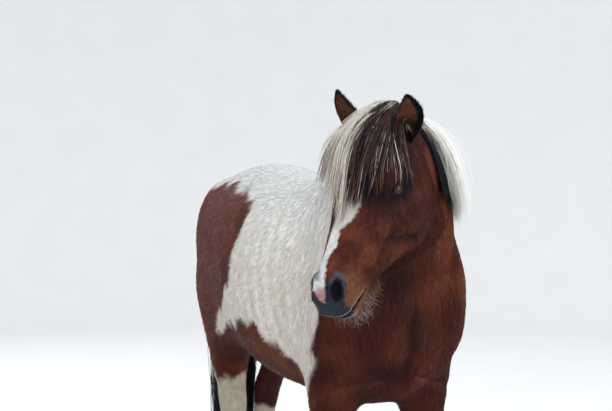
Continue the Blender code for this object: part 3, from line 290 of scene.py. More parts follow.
def neck_form():
    """The neck: an egg between each row's crest and throat, turned to that row's heading."""
    rows = smooth_rows([(*crest, *throat, half, turn) for crest, throat, half, turn in NECK], 36)
    crest, throat = at(*rows[:, 0:3].T), at(*rows[:, 3:6].T)
    turn = np.radians(rows[:, 7])
    across = np.stack([np.cos(turn), -np.sin(turn), 0 * turn], -1)
    side, high = egg(rows[:, 6:7], 1, 1, *NECK_FULLNESS, 36)
    middle, upright = (crest + throat) / 2, (crest - throat) / 2
    return loft(middle[:, None] + side[..., None] * across[:, None] + high[..., None] * upright[:, None])


def head_form():
    """Skull and jaws from the poll to the lips: an egg across each row."""
    along, face, jaw, wide, half, above, below = columns(HEAD, 60)
    side, high = egg(half, face - wide, wide - jaw, above, below, 40)
    return loft(on_head(*np.broadcast_arrays(along, side, wide + high)))


def leg_place(rows, stance, side, shift, z):
    """Left and forward of a leg's middle at heights z. shift is how far its foot is set forwards."""
    rows = np.array(rows)[::-1]
    top = rows[-1, 0]
    moved = shift * np.clip((top - SWING_START - z) / (top - SWING_END), 0, 1)
    return side * np.interp(z, *stance), np.interp(z, rows[:, 0], rows[:, 1]) + moved


def leg_form(rows, stance, side, shift):
    """One leg: an egg across each row; side is 1 for the left and -1 for the right."""
    z, _, half, deep = columns(rows, 56)
    left, forward = leg_place(rows, stance, side, shift, z)
    across, ahead = egg(half, deep, deep, LEG_FULLNESS, LEG_FULLNESS, 24)
    return loft(at(left + across, forward + ahead, z))


def ball(centre, radii, axes=np.eye(3), rows=9, columns=14, pole=0.14):
    """An ellipsoid: unit ball times radii, turned to axes. The poles are cut flat at the angle pole."""
    polar = np.linspace(pole, math.pi - pole, rows)[:, None]
    around = np.linspace(0, 2 * math.pi, columns, endpoint=False)
    unit = np.stack(np.broadcast_arrays(np.sin(polar) * np.cos(around), np.sin(polar) * np.sin(around),
                                        np.cos(polar)), -1)
    return loft(np.asarray(centre) + (unit * np.array(radii)) @ np.array(axes))


def body_forms():
    """Every form of the body, ready to be run together."""
    parts = [trunk_form(), neck_form(), head_form()]
    row_axes = ((1, 0, 0), (0, -1, 0), (0, 0, 1))
    for side in (-1, 1):
        for leg, rows, stance, shifts, bones in LEG_KINDS:
            parts.append(leg_form(rows, stance, side, shifts[side]))
            for z, ahead, outward, *radii in bones:
                left, forward = leg_place(rows, stance, side, shifts[side], z)
                parts.append(ball(at(left + side * outward, forward + ahead, z), radii, row_axes))
        for left, forward, up, *radii in MUSCLES:
            parts.append(ball(at(side * left, forward, up), radii, row_axes))
        for along, left, out, *radii in HEAD_MUSCLES:
            parts.append(ball(on_head(along, side * left, out), radii, (NOSE, HEAD_LEFT, FACE)))
    return parts


def mesh_object(name, parts):
    """One object from points and faces, each part's faces turned to point outwards."""
    mesh = bpy.data.meshes.new(name)
    points, faces, first = [], [], 0
    for part_points, part_faces in parts:
        points.append(part_points)
        faces.extend([[i + first for i in face] for face in part_faces])
        first += len(part_points)
    mesh.from_pydata(np.concatenate(points).tolist(), [], faces)
    work = bmesh.new()
    work.from_mesh(mesh)
    bmesh.ops.recalc_face_normals(work, faces=work.faces)
    work.to_mesh(mesh)
    work.free()
    obj = bpy.data.objects.new(name, mesh)
    bpy.context.scene.collection.objects.link(obj)
    return obj


def read(mesh, what, width, kind=float, of="vertices"):
    """One property of every vertex, loop or face as an array."""
    items = getattr(mesh, of)
    flat = np.empty(len(items) * width, kind)
    items.foreach_get(what, flat)
    return flat.reshape(-1, width)


def write_points(mesh, points):
    """Puts new places into the vertices."""
    mesh.vertices.foreach_set("co", points.astype(np.float32).ravel())
    mesh.update()


def settle(obj):
    """Puts the evaluated mesh in place of the object's own and drops its modifiers."""
    graph = bpy.context.evaluated_depsgraph_get()
    obj.data = bpy.data.meshes.new_from_object(obj.evaluated_get(graph))
    obj.modifiers.clear()


def headness(places):
    """1 on the head in front of the poll and throat, 0 on the rest of the body."""
    along, left, out = head_sizes(places)
    near = (1 - step(*HEAD_SIDE, np.abs(left))) * (1 - step(*HEAD_FRONT, along))
    return near * step(*HEAD_BACK, along + HEAD_BACK_TILT * out) * step(*HEAD_UNDER, out)


def fine_head(places, field=EYE_FIELD):
    """Where the head needs the closest skin: muzzle and eyes."""
    along, left, out = head_sizes(places)
    eye = (np.hypot(along - EYE[0], out - EYE[2]) < field) & (np.abs(left) > EYE_FIELD)
    return (headness(places) > 0.9) & ((along > MUZZLE_START) | eye)


def soften(obj, rounds, weights=None):
    """Blender's Smooth, held back where weights are small."""
    change = obj.modifiers.new("soften", "SMOOTH")
    change.factor, change.iterations = 0.5, rounds
    if weights is not None:
        group = obj.vertex_groups.new(name="broad")
        levels = np.round(weights * SMOOTH_LEVELS).astype(int)
        for level in range(1, SMOOTH_LEVELS + 1):
            group.add(np.flatnonzero(levels == level).tolist(), level / SMOOTH_LEVELS, "REPLACE")
        change.vertex_group = "broad"
    settle(obj)
    obj.vertex_groups.clear()


def refine(obj, wanted):
    """Cuts each edge in two where both its ends are wanted."""
    work = bmesh.new()
    work.from_mesh(obj.data)
    edges = [e for e in work.edges if wanted[e.verts[0].index] and wanted[e.verts[1].index]]
    bmesh.ops.subdivide_edges(work, edges=edges, cuts=1, use_grid_fill=True, smooth=0)
    bmesh.ops.triangulate(work, faces=[f for f in work.faces if len(f.verts) > 4])
    work.to_mesh(obj.data)
    work.free()


def bell(x, middle, width):
    """The bell curve exp(-((x - middle) / width)^2)."""
    return np.exp(-((x - middle) / width) ** 2)


def blot(sizes, spots):
    """A soft spot: the product of bell curves, one for each size, with the middles and widths in spots."""
    return math.prod(bell(x, *spot) for x, spot in zip(sizes, spots))


def sink(obj):
    """Lowers the skin by the coat's depth: full on the body, little on head and lower legs."""
    places = read(obj.data, "co", 3)
    normals = read(obj.data, "normal", 3)
    up = sizes_of(places)[2]
    depth = FACE_DEPTH + (COAT_DEPTH - FACE_DEPTH) * step(0.30, 0.70, up) * (1 - headness(places))
    write_points(obj.data, places - normals * depth[:, None])


def head_direction(direction, side):
    """Unit vector from shares along, left and out of the head, mirrored for the right side."""
    along, left, out = direction
    vector = along * NOSE + side * left * HEAD_LEFT + out * FACE
    return vector / np.linalg.norm(vector)


def sculpt_body(obj):
    """Creases and swells of the front: the furrow of the breast, the folds over the forelegs, the loose folds
    behind the shoulder on the side that the neck is bent to, and the hollow behind the elbow."""
    places = read(obj.data, "co", 3)
    normals = read(obj.data, "normal", 3)
    left, forward, up = sizes_of(places)
    aside = np.abs(left)
    front = step(*BREAST, forward) * (1 - headness(places))
    move = BREAST_FURROW[0] * blot((left, up), BREAST_FURROW[1:]) * front
    level, lean, start = LEG_FOLD_LINE
    fold = up - level + lean * (aside - start)
    sunk, raised = LEG_FOLD[0] * bell(fold, 0, LEG_FOLD[1]), LEG_FOLD_SWELL[0] * bell(fold, *LEG_FOLD_SWELL[1:])
    move += (sunk + raised) * front * step(0.03, 0.07, aside)
    ripple = np.sin((forward + up * RIPPLE_LEAN) * 2 * math.pi / RIPPLE_WIDTH) * bell(forward, *RIPPLE_PLACE)
    ripple *= step(0.08, 0.2, -left) * step(0.72, 0.85, up) * (1 - step(1.15, 1.28, up))
    move += SIDE_RIPPLE * ripple
    move += ELBOW_HOLLOW[0] * blot((forward, up), ELBOW_HOLLOW[1:]) * step(0.15, 0.2, aside)
    write_points(obj.data, places + normals * move[:, None])


def nostril_reach(along, left, out, side):
    """How far from a nostril's middle, as a share of its half size in its own slanting plane, and how far off
    that plane. The opening is bent like a comma towards its upper end."""
    away = np.stack([along - NOSTRIL[0], side * left - NOSTRIL[1], out - NOSTRIL[2]], -1)
    facing = np.array(NOSTRIL_FACING) / np.linalg.norm(NOSTRIL_FACING)
    run = np.array(NOSTRIL_RUN) - facing * np.dot(NOSTRIL_RUN, facing)
    run /= np.linalg.norm(run)
    long, wide = away @ run, away @ np.cross(facing, run)
    wide = wide + NOSTRIL_BEND[0] * long * np.abs(long) * np.where(long < 0, 1.0, NOSTRIL_BEND[1])
    return np.hypot(long / NOSTRIL_SIZE[0], wide / NOSTRIL_SIZE[1]), away @ facing


def jaw_crease(along, out):
    """How far in front of the crease between cheek and jowl, and how far up along it from its middle."""
    ahead, above = along - CREASE_PLACE[0], out - CREASE_PLACE[1]
    return (ahead * CREASE_WAY[0] - above * CREASE_WAY[1], ahead * CREASE_WAY[1] + above * CREASE_WAY[0])


def mouth_reach(along, out):
    """Share of the way from the lips' front to the corner of the mouth, and how far over or under the line of
    the mouth, in half widths of it."""
    share = (MOUTH_FRONT[0] - along) / (MOUTH_FRONT[0] - MOUTH_CORNER[0])
    line = MOUTH_FRONT[1] + (MOUTH_CORNER[1] - MOUTH_FRONT[1]) * share
    bow = MOUTH_BOW * np.sin(math.pi * np.clip(share, 0, 1))
    width = MOUTH_WIDTH[0] + (MOUTH_WIDTH[1] - MOUTH_WIDTH[0]) * np.clip(1 - share, 0, 1)
    return share, (out - line - bow) / width


def sculpt_head(obj):
    """Sinks the nostrils and the line of the mouth, raises their rims, and wraps lids over the eyeballs."""
    places = read(obj.data, "co", 3)
    normals = read(obj.data, "normal", 3)
    along, left, out = head_sizes(places)
    aside = np.abs(left)
    # Nostril: a slanting pit with a raised wing round it
    push = np.zeros_like(places)
    move = np.zeros(len(places))
    for side in (-1, 1):
        reach, deep = nostril_reach(along, left, out, side)
        own = (side * left > 0) * step(*NOSTRIL_FIELD, np.abs(deep))
        move += own * NOSTRIL_RIM * bell(reach, 1.42, 0.36)
        facing = head_direction(NOSTRIL_FACING, side)
        push -= (own * NOSTRIL_DEPTH * np.exp(-reach**4))[:, None] * facing
    # Mouth: a groove from the middle of the lips back to the corner, with full lips beside it
    share, away = mouth_reach(along, out)
    groove = LIP_SWELL * bell(np.abs(away), 2.2, 1.0) - MOUTH_DEPTH * np.exp(-away**4)
    move += groove * step(*MOUTH_FIELD, along) * (1 - step(0.92, 1.08, share))
    # Bones under thin skin: the long cheek ridge, the hollow over the eye, the groove under the jaw
    height, slope, middle, level = CHEEK_RIDGE
    ridge = out - level + slope * (along - middle)
    move += height * bell(ridge, 0, RIDGE_WIDTH) * step(0.20, 0.24, along) * (1 - step(0.32, 0.36, along))
    move -= height * bell(ridge, *RIDGE_HOLLOW) * step(0.20, 0.26, along) * (1 - step(0.34, 0.38, along))
    crease, run = jaw_crease(along, out)
    window = step(*CREASE_SIDE, aside) * step(*CREASE_END, np.abs(run))
    groove = CREASE_GROOVE[0] * bell(crease, *CREASE_GROOVE[1:])
    move += window * (groove + CREASE_SWELL[0] * bell(crease, *CREASE_SWELL[1:]))
    move += THROAT_PIT[0] * blot((crease, run), THROAT_PIT[1:]) * step(*CREASE_SIDE, aside)
    a, b = along - EYE[0] - EYE_HOLLOW[0], out - EYE[2] - EYE_HOLLOW[1]
    hollow = np.hypot(a / EYE_HOLLOW_SIZE[0], b / EYE_HOLLOW_SIZE[1])
    move -= EYE_HOLLOW_DEPTH * np.exp(-hollow**2) * step(0.03, 0.05, aside)
    moved = places + normals * (headness(places) * move)[:, None] + push
    # Eyes: the lids lie on the ball and fold above it, and inside their opening the skin sinks below the ball
    for side in (-1, 1):
        centre = on_head(EYE[0], side * EYE[1], EYE[2])
        away = moved - centre
        far = np.linalg.norm(away, axis=1)
        a, b = along - EYE[0], out - EYE[2]
        wide = a * math.cos(EYE_SLANT) + b * math.sin(EYE_SLANT)
        high = b * math.cos(EYE_SLANT) - a * math.sin(EYE_SLANT)
        opening = np.hypot(wide / EYE_OPENING[0], high / EYE_OPENING[1])
        outer = (side * left > 0.4 * EYE[1]) & (far < EYE_FIELD)
        folds = LID_FOLD * bell(opening, *LID_EDGE) - LID_CREASE * bell(opening, *LID_GROOVE) * (high > 0)
        folds = folds + LID_CREASE * bell(opening, *LID_SWELL) * (high > 0)
        lid = EYE_RADIUS + LID + folds
        target = np.where(opening < 1, EYE_RADIUS - EYE_SINK, lid)
        target = np.where((opening >= 1) & (far > lid), far + folds, target)
        moved = np.where(outer[:, None], centre + away / far[:, None] * target[:, None], moved)
    write_points(obj.data, moved)


skin = mesh_object("skin", body_forms())
fuse = skin.modifiers.new("fuse", "REMESH")
fuse.mode = "VOXEL"
fuse.voxel_size = VOXEL
settle(skin)
soften(skin, SMOOTH_ALL)
places = read(skin.data, "co", 3)
soften(skin, SMOOTH_BODY, (1 - headness(places)) * step(0.50, 0.80, sizes_of(places)[2]))
sink(skin)
sculpt_body(skin)
refine(skin, headness(read(skin.data, "co", 3)) > 0.5)
refine(skin, fine_head(read(skin.data, "co", 3)))
places = read(skin.data, "co", 3)
refine(skin, fine_head(places, LID_FIELD) & (head_sizes(places)[0] < MUZZLE_END))
along, left, out = head_sizes(read(skin.data, "co", 3))
refine(skin, np.minimum(*[nostril_reach(along, left, out, side)[0] for side in (-1, 1)]) < 2.0)
sculpt_head(skin)
work = bmesh.new()
work.from_mesh(skin.data)
bmesh.ops.triangulate(work, faces=work.faces)
work.to_mesh(skin.data)
work.free()
skin.data.shade_smooth()


# The coat's markings
# A pinto's colour is in its hair and in the skin under it: red-brown head, neck, chest and patches over a
# cream-white body, and bare black skin on nostrils and lips. One function of place gives the colour for hide
# and hair alike, from a few outlines drawn on each side of the horse.
# Some of these colours also stand in for light: the dark brown and the black paint shade in furrows, creases,
# hollows, nostrils and under the throat, and the rich brown paints light on the side of the neck and on the
# cheek.
BROWN, RICH_AND_LIT_BROWN, DARK_BROWN_AND_SHADE = (0.056, 0.0115, 0.0065), (0.108, 0.0270, 0.0120), (0.020, 0.0052, 0.0042)
CREAM, WARM_CREAM, WHITE = (0.615, 0.590, 0.530), (0.500, 0.425, 0.320), (0.640, 0.640, 0.640)
HAUNCH_SHEEN_MAUVE, LEG_CREAM_AND_SHADE, TAN = (0.110, 0.040, 0.031), (0.400, 0.350, 0.275), (0.175, 0.075, 0.034)
MUZZLE_GREY, NOSTRIL_RIM_HIGHLIGHT = (0.016, 0.020, 0.029), (0.060, 0.066, 0.085)
PINK, SKIN_BLACK_AND_SHADE = (0.450, 0.240, 0.215), (0.004, 0.004, 0.006)
# Outlines of the brown patches, as forward and up
HAUNCH_RIGHT = (
    (-0.900, 1.100), (-0.800, 1.170), (-0.700, 1.240), (-0.600, 1.268), (-0.480, 1.280), (-0.350, 1.278),
    (-0.254, 1.270), (-0.195, 1.255), (-0.120, 1.236), (-0.075, 1.216), (-0.042, 1.196), (-0.045, 1.171),
    (-0.036, 1.134), (-0.060, 1.077), (-0.057, 1.022), (-0.076, 0.967), (-0.201, 0.900), (-0.368, 0.837),
    (-0.419, 0.775), (-0.380, 0.735), (-0.365, 0.660), (-0.400, 0.600), (-0.470, 0.605), (-0.510, 0.598),
    (-0.560, 0.640), (-0.660, 0.700), (-0.900, 0.900),
)
BELLY_RIGHT = (
    (-0.450, 0.740), (-0.400, 0.780), (-0.350, 0.804), (-0.216, 0.822), (-0.027, 0.852), (0.042, 0.862),
    (0.102, 0.866), (0.127, 0.851), (0.148, 0.836), (0.193, 0.828), (0.225, 0.826), (0.255, 0.794),
    (0.288, 0.771), (0.347, 0.760), (0.373, 0.741), (0.362, 0.690), (0.330, 0.560), (-0.390, 0.560),
    (-0.395, 0.700),
)
FRONT_RIGHT = (
    (0.330, 1.600), (0.380, 1.420), (0.460, 1.330), (0.515, 1.250), (0.530, 1.160), (0.522, 1.060),
    (0.525, 0.980), (0.515, 0.925), (0.480, 0.880), (0.448, 0.840), (0.462, 0.800), (0.425, 0.750),
    (0.400, 0.700), (0.350, 0.660), (0.345, 0.350), (0.900, 0.350), (1.200, 1.000), (1.200, 1.700),
)
HAUNCH_LEFT = (
    (-0.900, 1.080), (-0.800, 1.150), (-0.690, 1.205), (-0.560, 1.235), (-0.430, 1.262), (-0.300, 1.240),
    (-0.205, 1.250), (-0.120, 1.205), (-0.090, 1.130), (-0.150, 1.060), (-0.135, 0.985), (-0.220, 0.930),
    (-0.300, 0.850), (-0.380, 0.800), (-0.400, 0.700), (-0.560, 0.600), (-0.640, 0.470), (-0.700, 0.430),
    (-0.800, 0.442), (-0.900, 0.470),
)
BELLY_LEFT = (
    (-0.300, 0.700), (-0.230, 0.760), (-0.110, 0.800), (-0.010, 0.880), (0.080, 0.905), (0.150, 0.870),
    (0.205, 0.780), (0.300, 0.745), (0.310, 0.560), (-0.300, 0.560),
)
FRONT_LEFT = (
    (0.330, 1.600), (0.380, 1.420), (0.350, 1.320), (0.325, 1.210), (0.300, 1.110), (0.335, 1.010),
    (0.380, 0.930), (0.375, 0.840), (0.350, 0.760), (0.340, 0.680), (0.330, 0.330), (0.900, 0.330),
    (1.200, 1.000), (1.200, 1.700),
)
PATCHES = {1: (HAUNCH_LEFT, BELLY_LEFT, FRONT_LEFT), -1: (HAUNCH_RIGHT, BELLY_RIGHT, FRONT_RIGHT)}
BELLY_GAP = 0.05                         # half the white stripe under the belly, between the patches
LEG_WHITE = {1: 0.330, -1: 0.365}        # height below which each foreleg is white
PATCH_EDGE = (-0.010, 0.012)             # where brown hair starts and where it is full, into a patch
BODY_TORN, BODY_TORN_FINE, FACE_TORN = (0.007, 0.09), (0.0022, 0.03), (0.0015, 0.012)
# Painted light and shade of the neck and chest: a richer red on the side of the neck that is partly painted
# light, painted shadow under the throat, and painted shade in the furrows between the chest's muscles; middle
# and width to the left, forwards and up, or to the left and up
NECK_RED_AND_PAINTED_LIGHT = ((0.10, 0.035), (0.68, 0.06), (1.08, 0.16))
THROAT_PAINTED_SHADOW = ((-0.06, 0.075), (1.03, 0.075))
FURROW_SHADES = (
    ((0.012, 0.013), (0.890, 0.080)),
    ((-0.050, 0.070), (0.785, 0.030)),
    ((-0.200, 0.030), (0.777, 0.030)),
)
# The face: the bare lips' middle line, the blaze's edges as along and left, and the pink snip under it
BARE_LINE = ((0.490, 0.034, -0.030), (0.512, 0.030, -0.058), (0.519, 0.030, -0.085), (0.523, 0.000, -0.085))
BLAZE_LEFT = ((0.10, 0.24, 0.289, 0.305, 0.326, 0.376, 0.395, 0.414, 0.452, 0.486, 0.503),
              (0.020, 0.026, 0.021, 0.010, -0.004, 0.000, -0.008, -0.012, -0.002, 0.007, -0.002))
BLAZE_RIGHT = ((0.10, 0.24, 0.30, 0.36, 0.42, 0.47, 0.50),
               (-0.018, -0.030, -0.036, -0.036, -0.036, -0.026, -0.020))
BLAZE_END, BLAZE_LOW = 0.497, -0.075
SNIP, SNIP_SIZE = (0.495, -0.003), (0.0150, 0.0135)
BARE_LIPS, BARE_NOSTRIL = 0.017, 0.031   # how far the bare skin reaches from the lips' line and the nostrils
EYE_RING = 0.020


def outline_depth(outline, x, y):
    """How far inside a closed outline each place lies, negative outside: the least distance to its edges."""
    a = np.array(outline, float)
    b = np.roll(a, -1, 0)
    run = b - a
    away = np.stack([x, y], -1)[:, None] - a
    share = np.clip((away * run).sum(-1) / (run * run).sum(-1), 0, 1)
    near = np.linalg.norm(away - share[..., None] * run, axis=-1).min(1)
    crosses = (a[:, 1] > y[:, None]) != (b[:, 1] > y[:, None])
    rise = np.where(run[:, 1] == 0, 1, run[:, 1])
    inside = (crosses & (away[..., 0] < away[..., 1] / rise * run[:, 0])).sum(1) % 2
    return np.where(inside == 1, near, -near)


def far_from_line(places, line):
    """Least distance from places to a line of straight runs."""
    a, b = np.array(line[:-1], float), np.array(line[1:], float)
    away, run = places[:, None] - a, b - a
    share = np.clip((away * run).sum(-1) / (run * run).sum(-1), 0, 1)
    return np.linalg.norm(away - share[..., None] * run, axis=-1).min(1)


def drift(places, size, seed, waves=14):
    """Smooth random tone of unit spread: the sum of plane cosine waves of about that wavelength."""
    draw = np.random.default_rng(seed)
    way = draw.normal(size=(waves, 3))
    way *= (2 * math.pi / size * draw.uniform(0.6, 1.5, waves) / np.linalg.norm(way, axis=1))[:, None]
    return np.cos(places @ way.T + draw.uniform(0, 2 * math.pi, waves)).sum(1) * math.sqrt(2 / waves)


def mixed(first, second, share):
    """Colours between two, by share."""
    first, second = np.asarray(first, float), np.asarray(second, float)
    return first + (second - first) * np.asarray(share)[..., None]


def body_colours(places):
    """Red, green and blue of the coat behind the head, with light and shade painted into it in places."""
    left, forward, up = sizes_of(places)
    torn = BODY_TORN[0] * drift(places, BODY_TORN[1], 1)
    torn = torn + BODY_TORN_FINE[0] * drift(places, BODY_TORN_FINE[1], 2)
    patch = np.full(len(places), -1.0)
    for side, outlines in PATCHES.items():
        own = side * left > 0
        for outline in outlines:
            depth = outline_depth(outline, forward[own], up[own]) + torn[own]
            if outline in (BELLY_RIGHT, BELLY_LEFT):
                depth = np.minimum(depth, np.abs(left[own]) - BELLY_GAP + torn[own])
            patch[own] = np.maximum(patch[own], depth)
        ends = own & (forward > 0.30) & (up < 0.60)
        patch[ends] = np.minimum(patch[ends], up[ends] - LEG_WHITE[side] + torn[ends])
    # Brown: lighter and darker by slow drifts, and richer where light is painted onto the side of the neck;
    # painted shade in the furrows, under the breast and between the hind legs, painted shadow under the throat,
    # and a mauve painted sheen on the haunch
    tone = drift(places, 0.16, 3) + 2.4 * blot((left, forward, up), NECK_RED_AND_PAINTED_LIGHT)
    red = mixed(BROWN, RICH_AND_LIT_BROWN, step(-1, 1.2, tone))
    red = mixed(red, DARK_BROWN_AND_SHADE, 0.45 * step(0.3, 1.6, drift(places, 0.2, 4)))
    # Painted shadow under the throat, behind the jaw.
    red = mixed(red, DARK_BROWN_AND_SHADE, 0.9 * blot((left, up), THROAT_PAINTED_SHADOW) * step(0.55, 0.62, forward))
    # Painted shade in the furrow between the breast muscles, under the breast and behind the elbow, and over
    # the lower front below the breast.
    furrow = sum(blot((left, up), one) for one in FURROW_SHADES) + 0.35 * step(1.02, 0.92, up)
    red = mixed(red, DARK_BROWN_AND_SHADE, np.minimum(0.85, 0.9 * furrow) * step(0.40, 0.50, forward))
    # Painted shade over the brown of the far, left hind leg, which stands in the shade between the legs.
    inside = step(0.02, 0.06, left) * step(-0.3, -0.4, forward) * step(0.66, 0.60, up)
    red = mixed(red, DARK_BROWN_AND_SHADE, 0.7 * inside)
    # A mauve tint over the upper haunch: the sheen of the sky on its hair, painted in.
    haunch = step(0.0, 0.30, -forward) * step(0.66, 1.0, up)
    red = mixed(red, HAUNCH_SHEEN_MAUVE, (0.82 + 0.18 * step(-1, 1, tone)) * haunch)
    # White: warmer below; darker and warmer on the legs, partly their own warmer hair and partly painted shade
    # under the belly; whiter along the back, and a little dimmer there as painted shade against the light from
    # above
    pale = mixed(CREAM, WARM_CREAM, 0.35 * step(0.2, 1.8, drift(places, 0.11, 5)) + 0.2 * step(0.95, 0.7, up))
    pale = mixed(pale, LEG_CREAM_AND_SHADE, step(0.72, 0.55, up))
    # The top of the back is dimmed by a fifth: painted shade that tones down the light from overhead.
    pale = mixed(pale, WHITE, 0.7 * step(1.05, 1.28, up)) * (1 - 0.20 * step(1.12, 1.30, up))[:, None]
    return mixed(pale, red, step(*PATCH_EDGE, patch))


def face_colours(places):
    """Red, green and blue of the coat and bare skin of the head, with light and shade painted into it in
    places.
    """
    along, left, out = head_sizes(places)
    aside = np.abs(left)
    torn = FACE_TORN[0] * drift(places, FACE_TORN[1], 6)
    red = mixed(BROWN, RICH_AND_LIT_BROWN, step(-0.2, 2.0, drift(places, 0.09, 7) + 8 * (out + 0.10)))
    red = mixed(red, DARK_BROWN_AND_SHADE, 0.45 * step(0.36, 0.26, along))
    red = mixed(red, DARK_BROWN_AND_SHADE, 0.75 * step(0.28, 0.16, along) * step(-0.16, -0.02, out))
    # Painted shade over the lower side of the head, from the cheek to the muzzle.
    red = mixed(red, DARK_BROWN_AND_SHADE, 0.5 * step(-0.10, -0.20, out) * step(0.2, 0.3, along))
    blaze = np.minimum(np.interp(along, *BLAZE_LEFT) - left, left - np.interp(along, *BLAZE_RIGHT)) + torn
    blaze = np.minimum(np.minimum(blaze, out - BLAZE_LOW), BLAZE_END - along + torn)
    # Round the crease between cheek and jowl: a painted highlight on the lit bulge in front of it, painted
    # shade along the crease, and a black hollow at its lower end that is partly dark skin where the hair parts
    # and partly painted shadow.
    crease, run = jaw_crease(along, out)
    cheek = step(*CREASE_SIDE, aside)
    red = mixed(red, RICH_AND_LIT_BROWN, 0.9 * cheek * blot((crease, run), ((0.034, 0.022), (-0.035, 0.045))))
    red = mixed(red, DARK_BROWN_AND_SHADE, 0.9 * cheek * bell(crease, 0, 0.009) * step(0.07, 0.03, np.abs(run)))
    red = mixed(red, SKIN_BLACK_AND_SHADE, 0.7 * cheek * blot((crease, run), ((0.003, 0.013), (-0.074, 0.024))))
    lips = step(0.385, 0.45, along) * step(0.025, 0.040, aside) * step(-0.012, -0.05, out)
    red = mixed(red, TAN, 0.85 * lips)
    coat = mixed(red, mixed(WHITE, WARM_CREAM, 0.6 * step(0.36, 0.26, along)), step(-0.004, 0.005, blaze))
    # Bare dark skin round the nostrils and over the lips, with the pink snip left between
    own = np.stack([along, aside, out], -1)
    bare = np.minimum(far_from_line(own, BARE_LINE) - BARE_LIPS,
                      np.linalg.norm(own - NOSTRIL, axis=-1) - BARE_NOSTRIL)
    bare = step(0.005, -0.004, bare + 1.5 * torn)
    bare = np.maximum(bare, step(0.488, 0.498, along + torn))
    snip = np.hypot((along - SNIP[0]) / SNIP_SIZE[0], (left - SNIP[1]) / SNIP_SIZE[1]) + 60 * torn
    bare = bare * step(0.75, 1.15, snip) * step(0.003, -0.003, blaze)
    coat = mixed(coat, MUZZLE_GREY, bare)
    coat = mixed(coat, PINK, 0.85 * step(1.2, 0.75, snip) * step(0.478, 0.488, along))
    # The mouth: a black line with a pale edge over it, and a pale chin
    share, away = mouth_reach(along, out)
    near = step(1.12, 0.98, share) * step(*MOUTH_FIELD, along)
    coat = mixed(coat, CREAM, 0.45 * near * bell(away, 1.6, 0.45))
    coat = mixed(coat, CREAM, 0.45 * near * step(-2.0, -3.5, away) * step(0.47, 0.50, along))
    coat = mixed(coat, SKIN_BLACK_AND_SHADE, near * step(1.45, 0.95, np.abs(away)) * step(0.010, 0.026, aside))
    # The nostrils are black inside, partly their dark skin and partly painted shade deep in their pits, with a
    # pale grey painted highlight on the rim behind them, and black skin rings the eyes
    for side in (-1, 1):
        reach, deep = nostril_reach(along, left, out, side)
        own = (side * left > 0) * step(*NOSTRIL_FIELD, np.abs(deep))
        behind = step(0.0, 0.012, NOSTRIL[0] - along + 0.3 * (aside - NOSTRIL[1]))
        # A painted highlight on the back of the nostril's rim.
        coat = mixed(coat, NOSTRIL_RIM_HIGHLIGHT, 0.8 * own * behind * bell(reach, 1.75, 0.30))
        # The pit of the nostril is painted black: partly its dark skin, partly painted shade.
        coat = mixed(coat, SKIN_BLACK_AND_SHADE, own * step(1.45, 1.02, reach))
    reach = np.hypot(along - EYE[0], out - EYE[2]) / EYE_RING
    return mixed(coat, SKIN_BLACK_AND_SHADE, step(1.25, 0.85, reach) * (aside > 0.03))


def coat_colours(places):
    """The coat's colour anywhere on the horse, with the light and shade that is painted into it."""
    return mixed(body_colours(places), face_colours(places), step(0.25, 0.75, headness(places)))


class Line:
    """A socket's value in a material. Arithmetic on lines adds Math nodes, and node adds any other node."""

    def __init__(self, tree, socket=None):
        self.tree, self.socket = tree, socket

    def node(self, kind, settings=None, values=None, out=0):
        """Adds a node: its settings first, a ramp's stops among them, then its sockets' values or links."""
        made = self.tree.nodes.new(kind)
        for key, value in (settings or {}).items():
            if key == "stops":
                elements = made.color_ramp.elements
                for place, colour in value[len(elements):]:
                    elements.new(place)
                for element, (place, colour) in zip(elements, value):
                    element.position, element.color = place, colour
            else:
                setattr(made, key, value)
        for key, value in (values or {}).items():
            if isinstance(value, Line):
                self.tree.links.new(value.socket, made.inputs[key])
            else:
                made.inputs[key].default_value = value
        return Line(self.tree, made.outputs[out] if made.outputs else None)

    def math(self, operation, *values):
        """A Math node."""
        return self.node("ShaderNodeMath", {"operation": operation}, dict(enumerate(values)))

    def __add__(self, other):
        return self.math("ADD", self, other)

    def __mul__(self, other):
        return self.math("MULTIPLY", self, other)

    __radd__, __rmul__ = __add__, __mul__


def finish_of(name, roughness, specular=0.5, sheen=0.0):
    """A new material, a Line to add its nodes by, and its shader with what stays the same all over."""
    material = bpy.data.materials.new(name)
    material.use_nodes = True
    shader = material.node_tree.nodes["Principled BSDF"]
    shader.inputs["Roughness"].default_value = roughness
    shader.inputs["Specular IOR Level"].default_value = specular
    shader.inputs["Sheen Weight"].default_value = sheen
    return material, Line(material.node_tree), shader


def colour_points(obj, colours):
    """Keeps a colour for each vertex in the attribute coat."""
    layer = obj.data.attributes.new("coat", "FLOAT_COLOR", "POINT")
    opaque = np.c_[np.clip(colours, 0, 1), np.ones(len(colours))]
    layer.data.foreach_set("color", opaque.astype(np.float32).ravel())


def tinted(nodes, colour, by, strength):
    """Colour made darker and lighter by a texture of 0 to 1, by strength either way."""
    shade = by * (2 * strength) + (1 - strength)
    grey = nodes.node("ShaderNodeCombineColor", None, {"Red": shade, "Green": shade, "Blue": shade})
    return nodes.node("ShaderNodeMix", {"data_type": "RGBA", "blend_type": "MULTIPLY"},
                      {"Factor": 1.0, "A": colour, "B": grey}, 2)


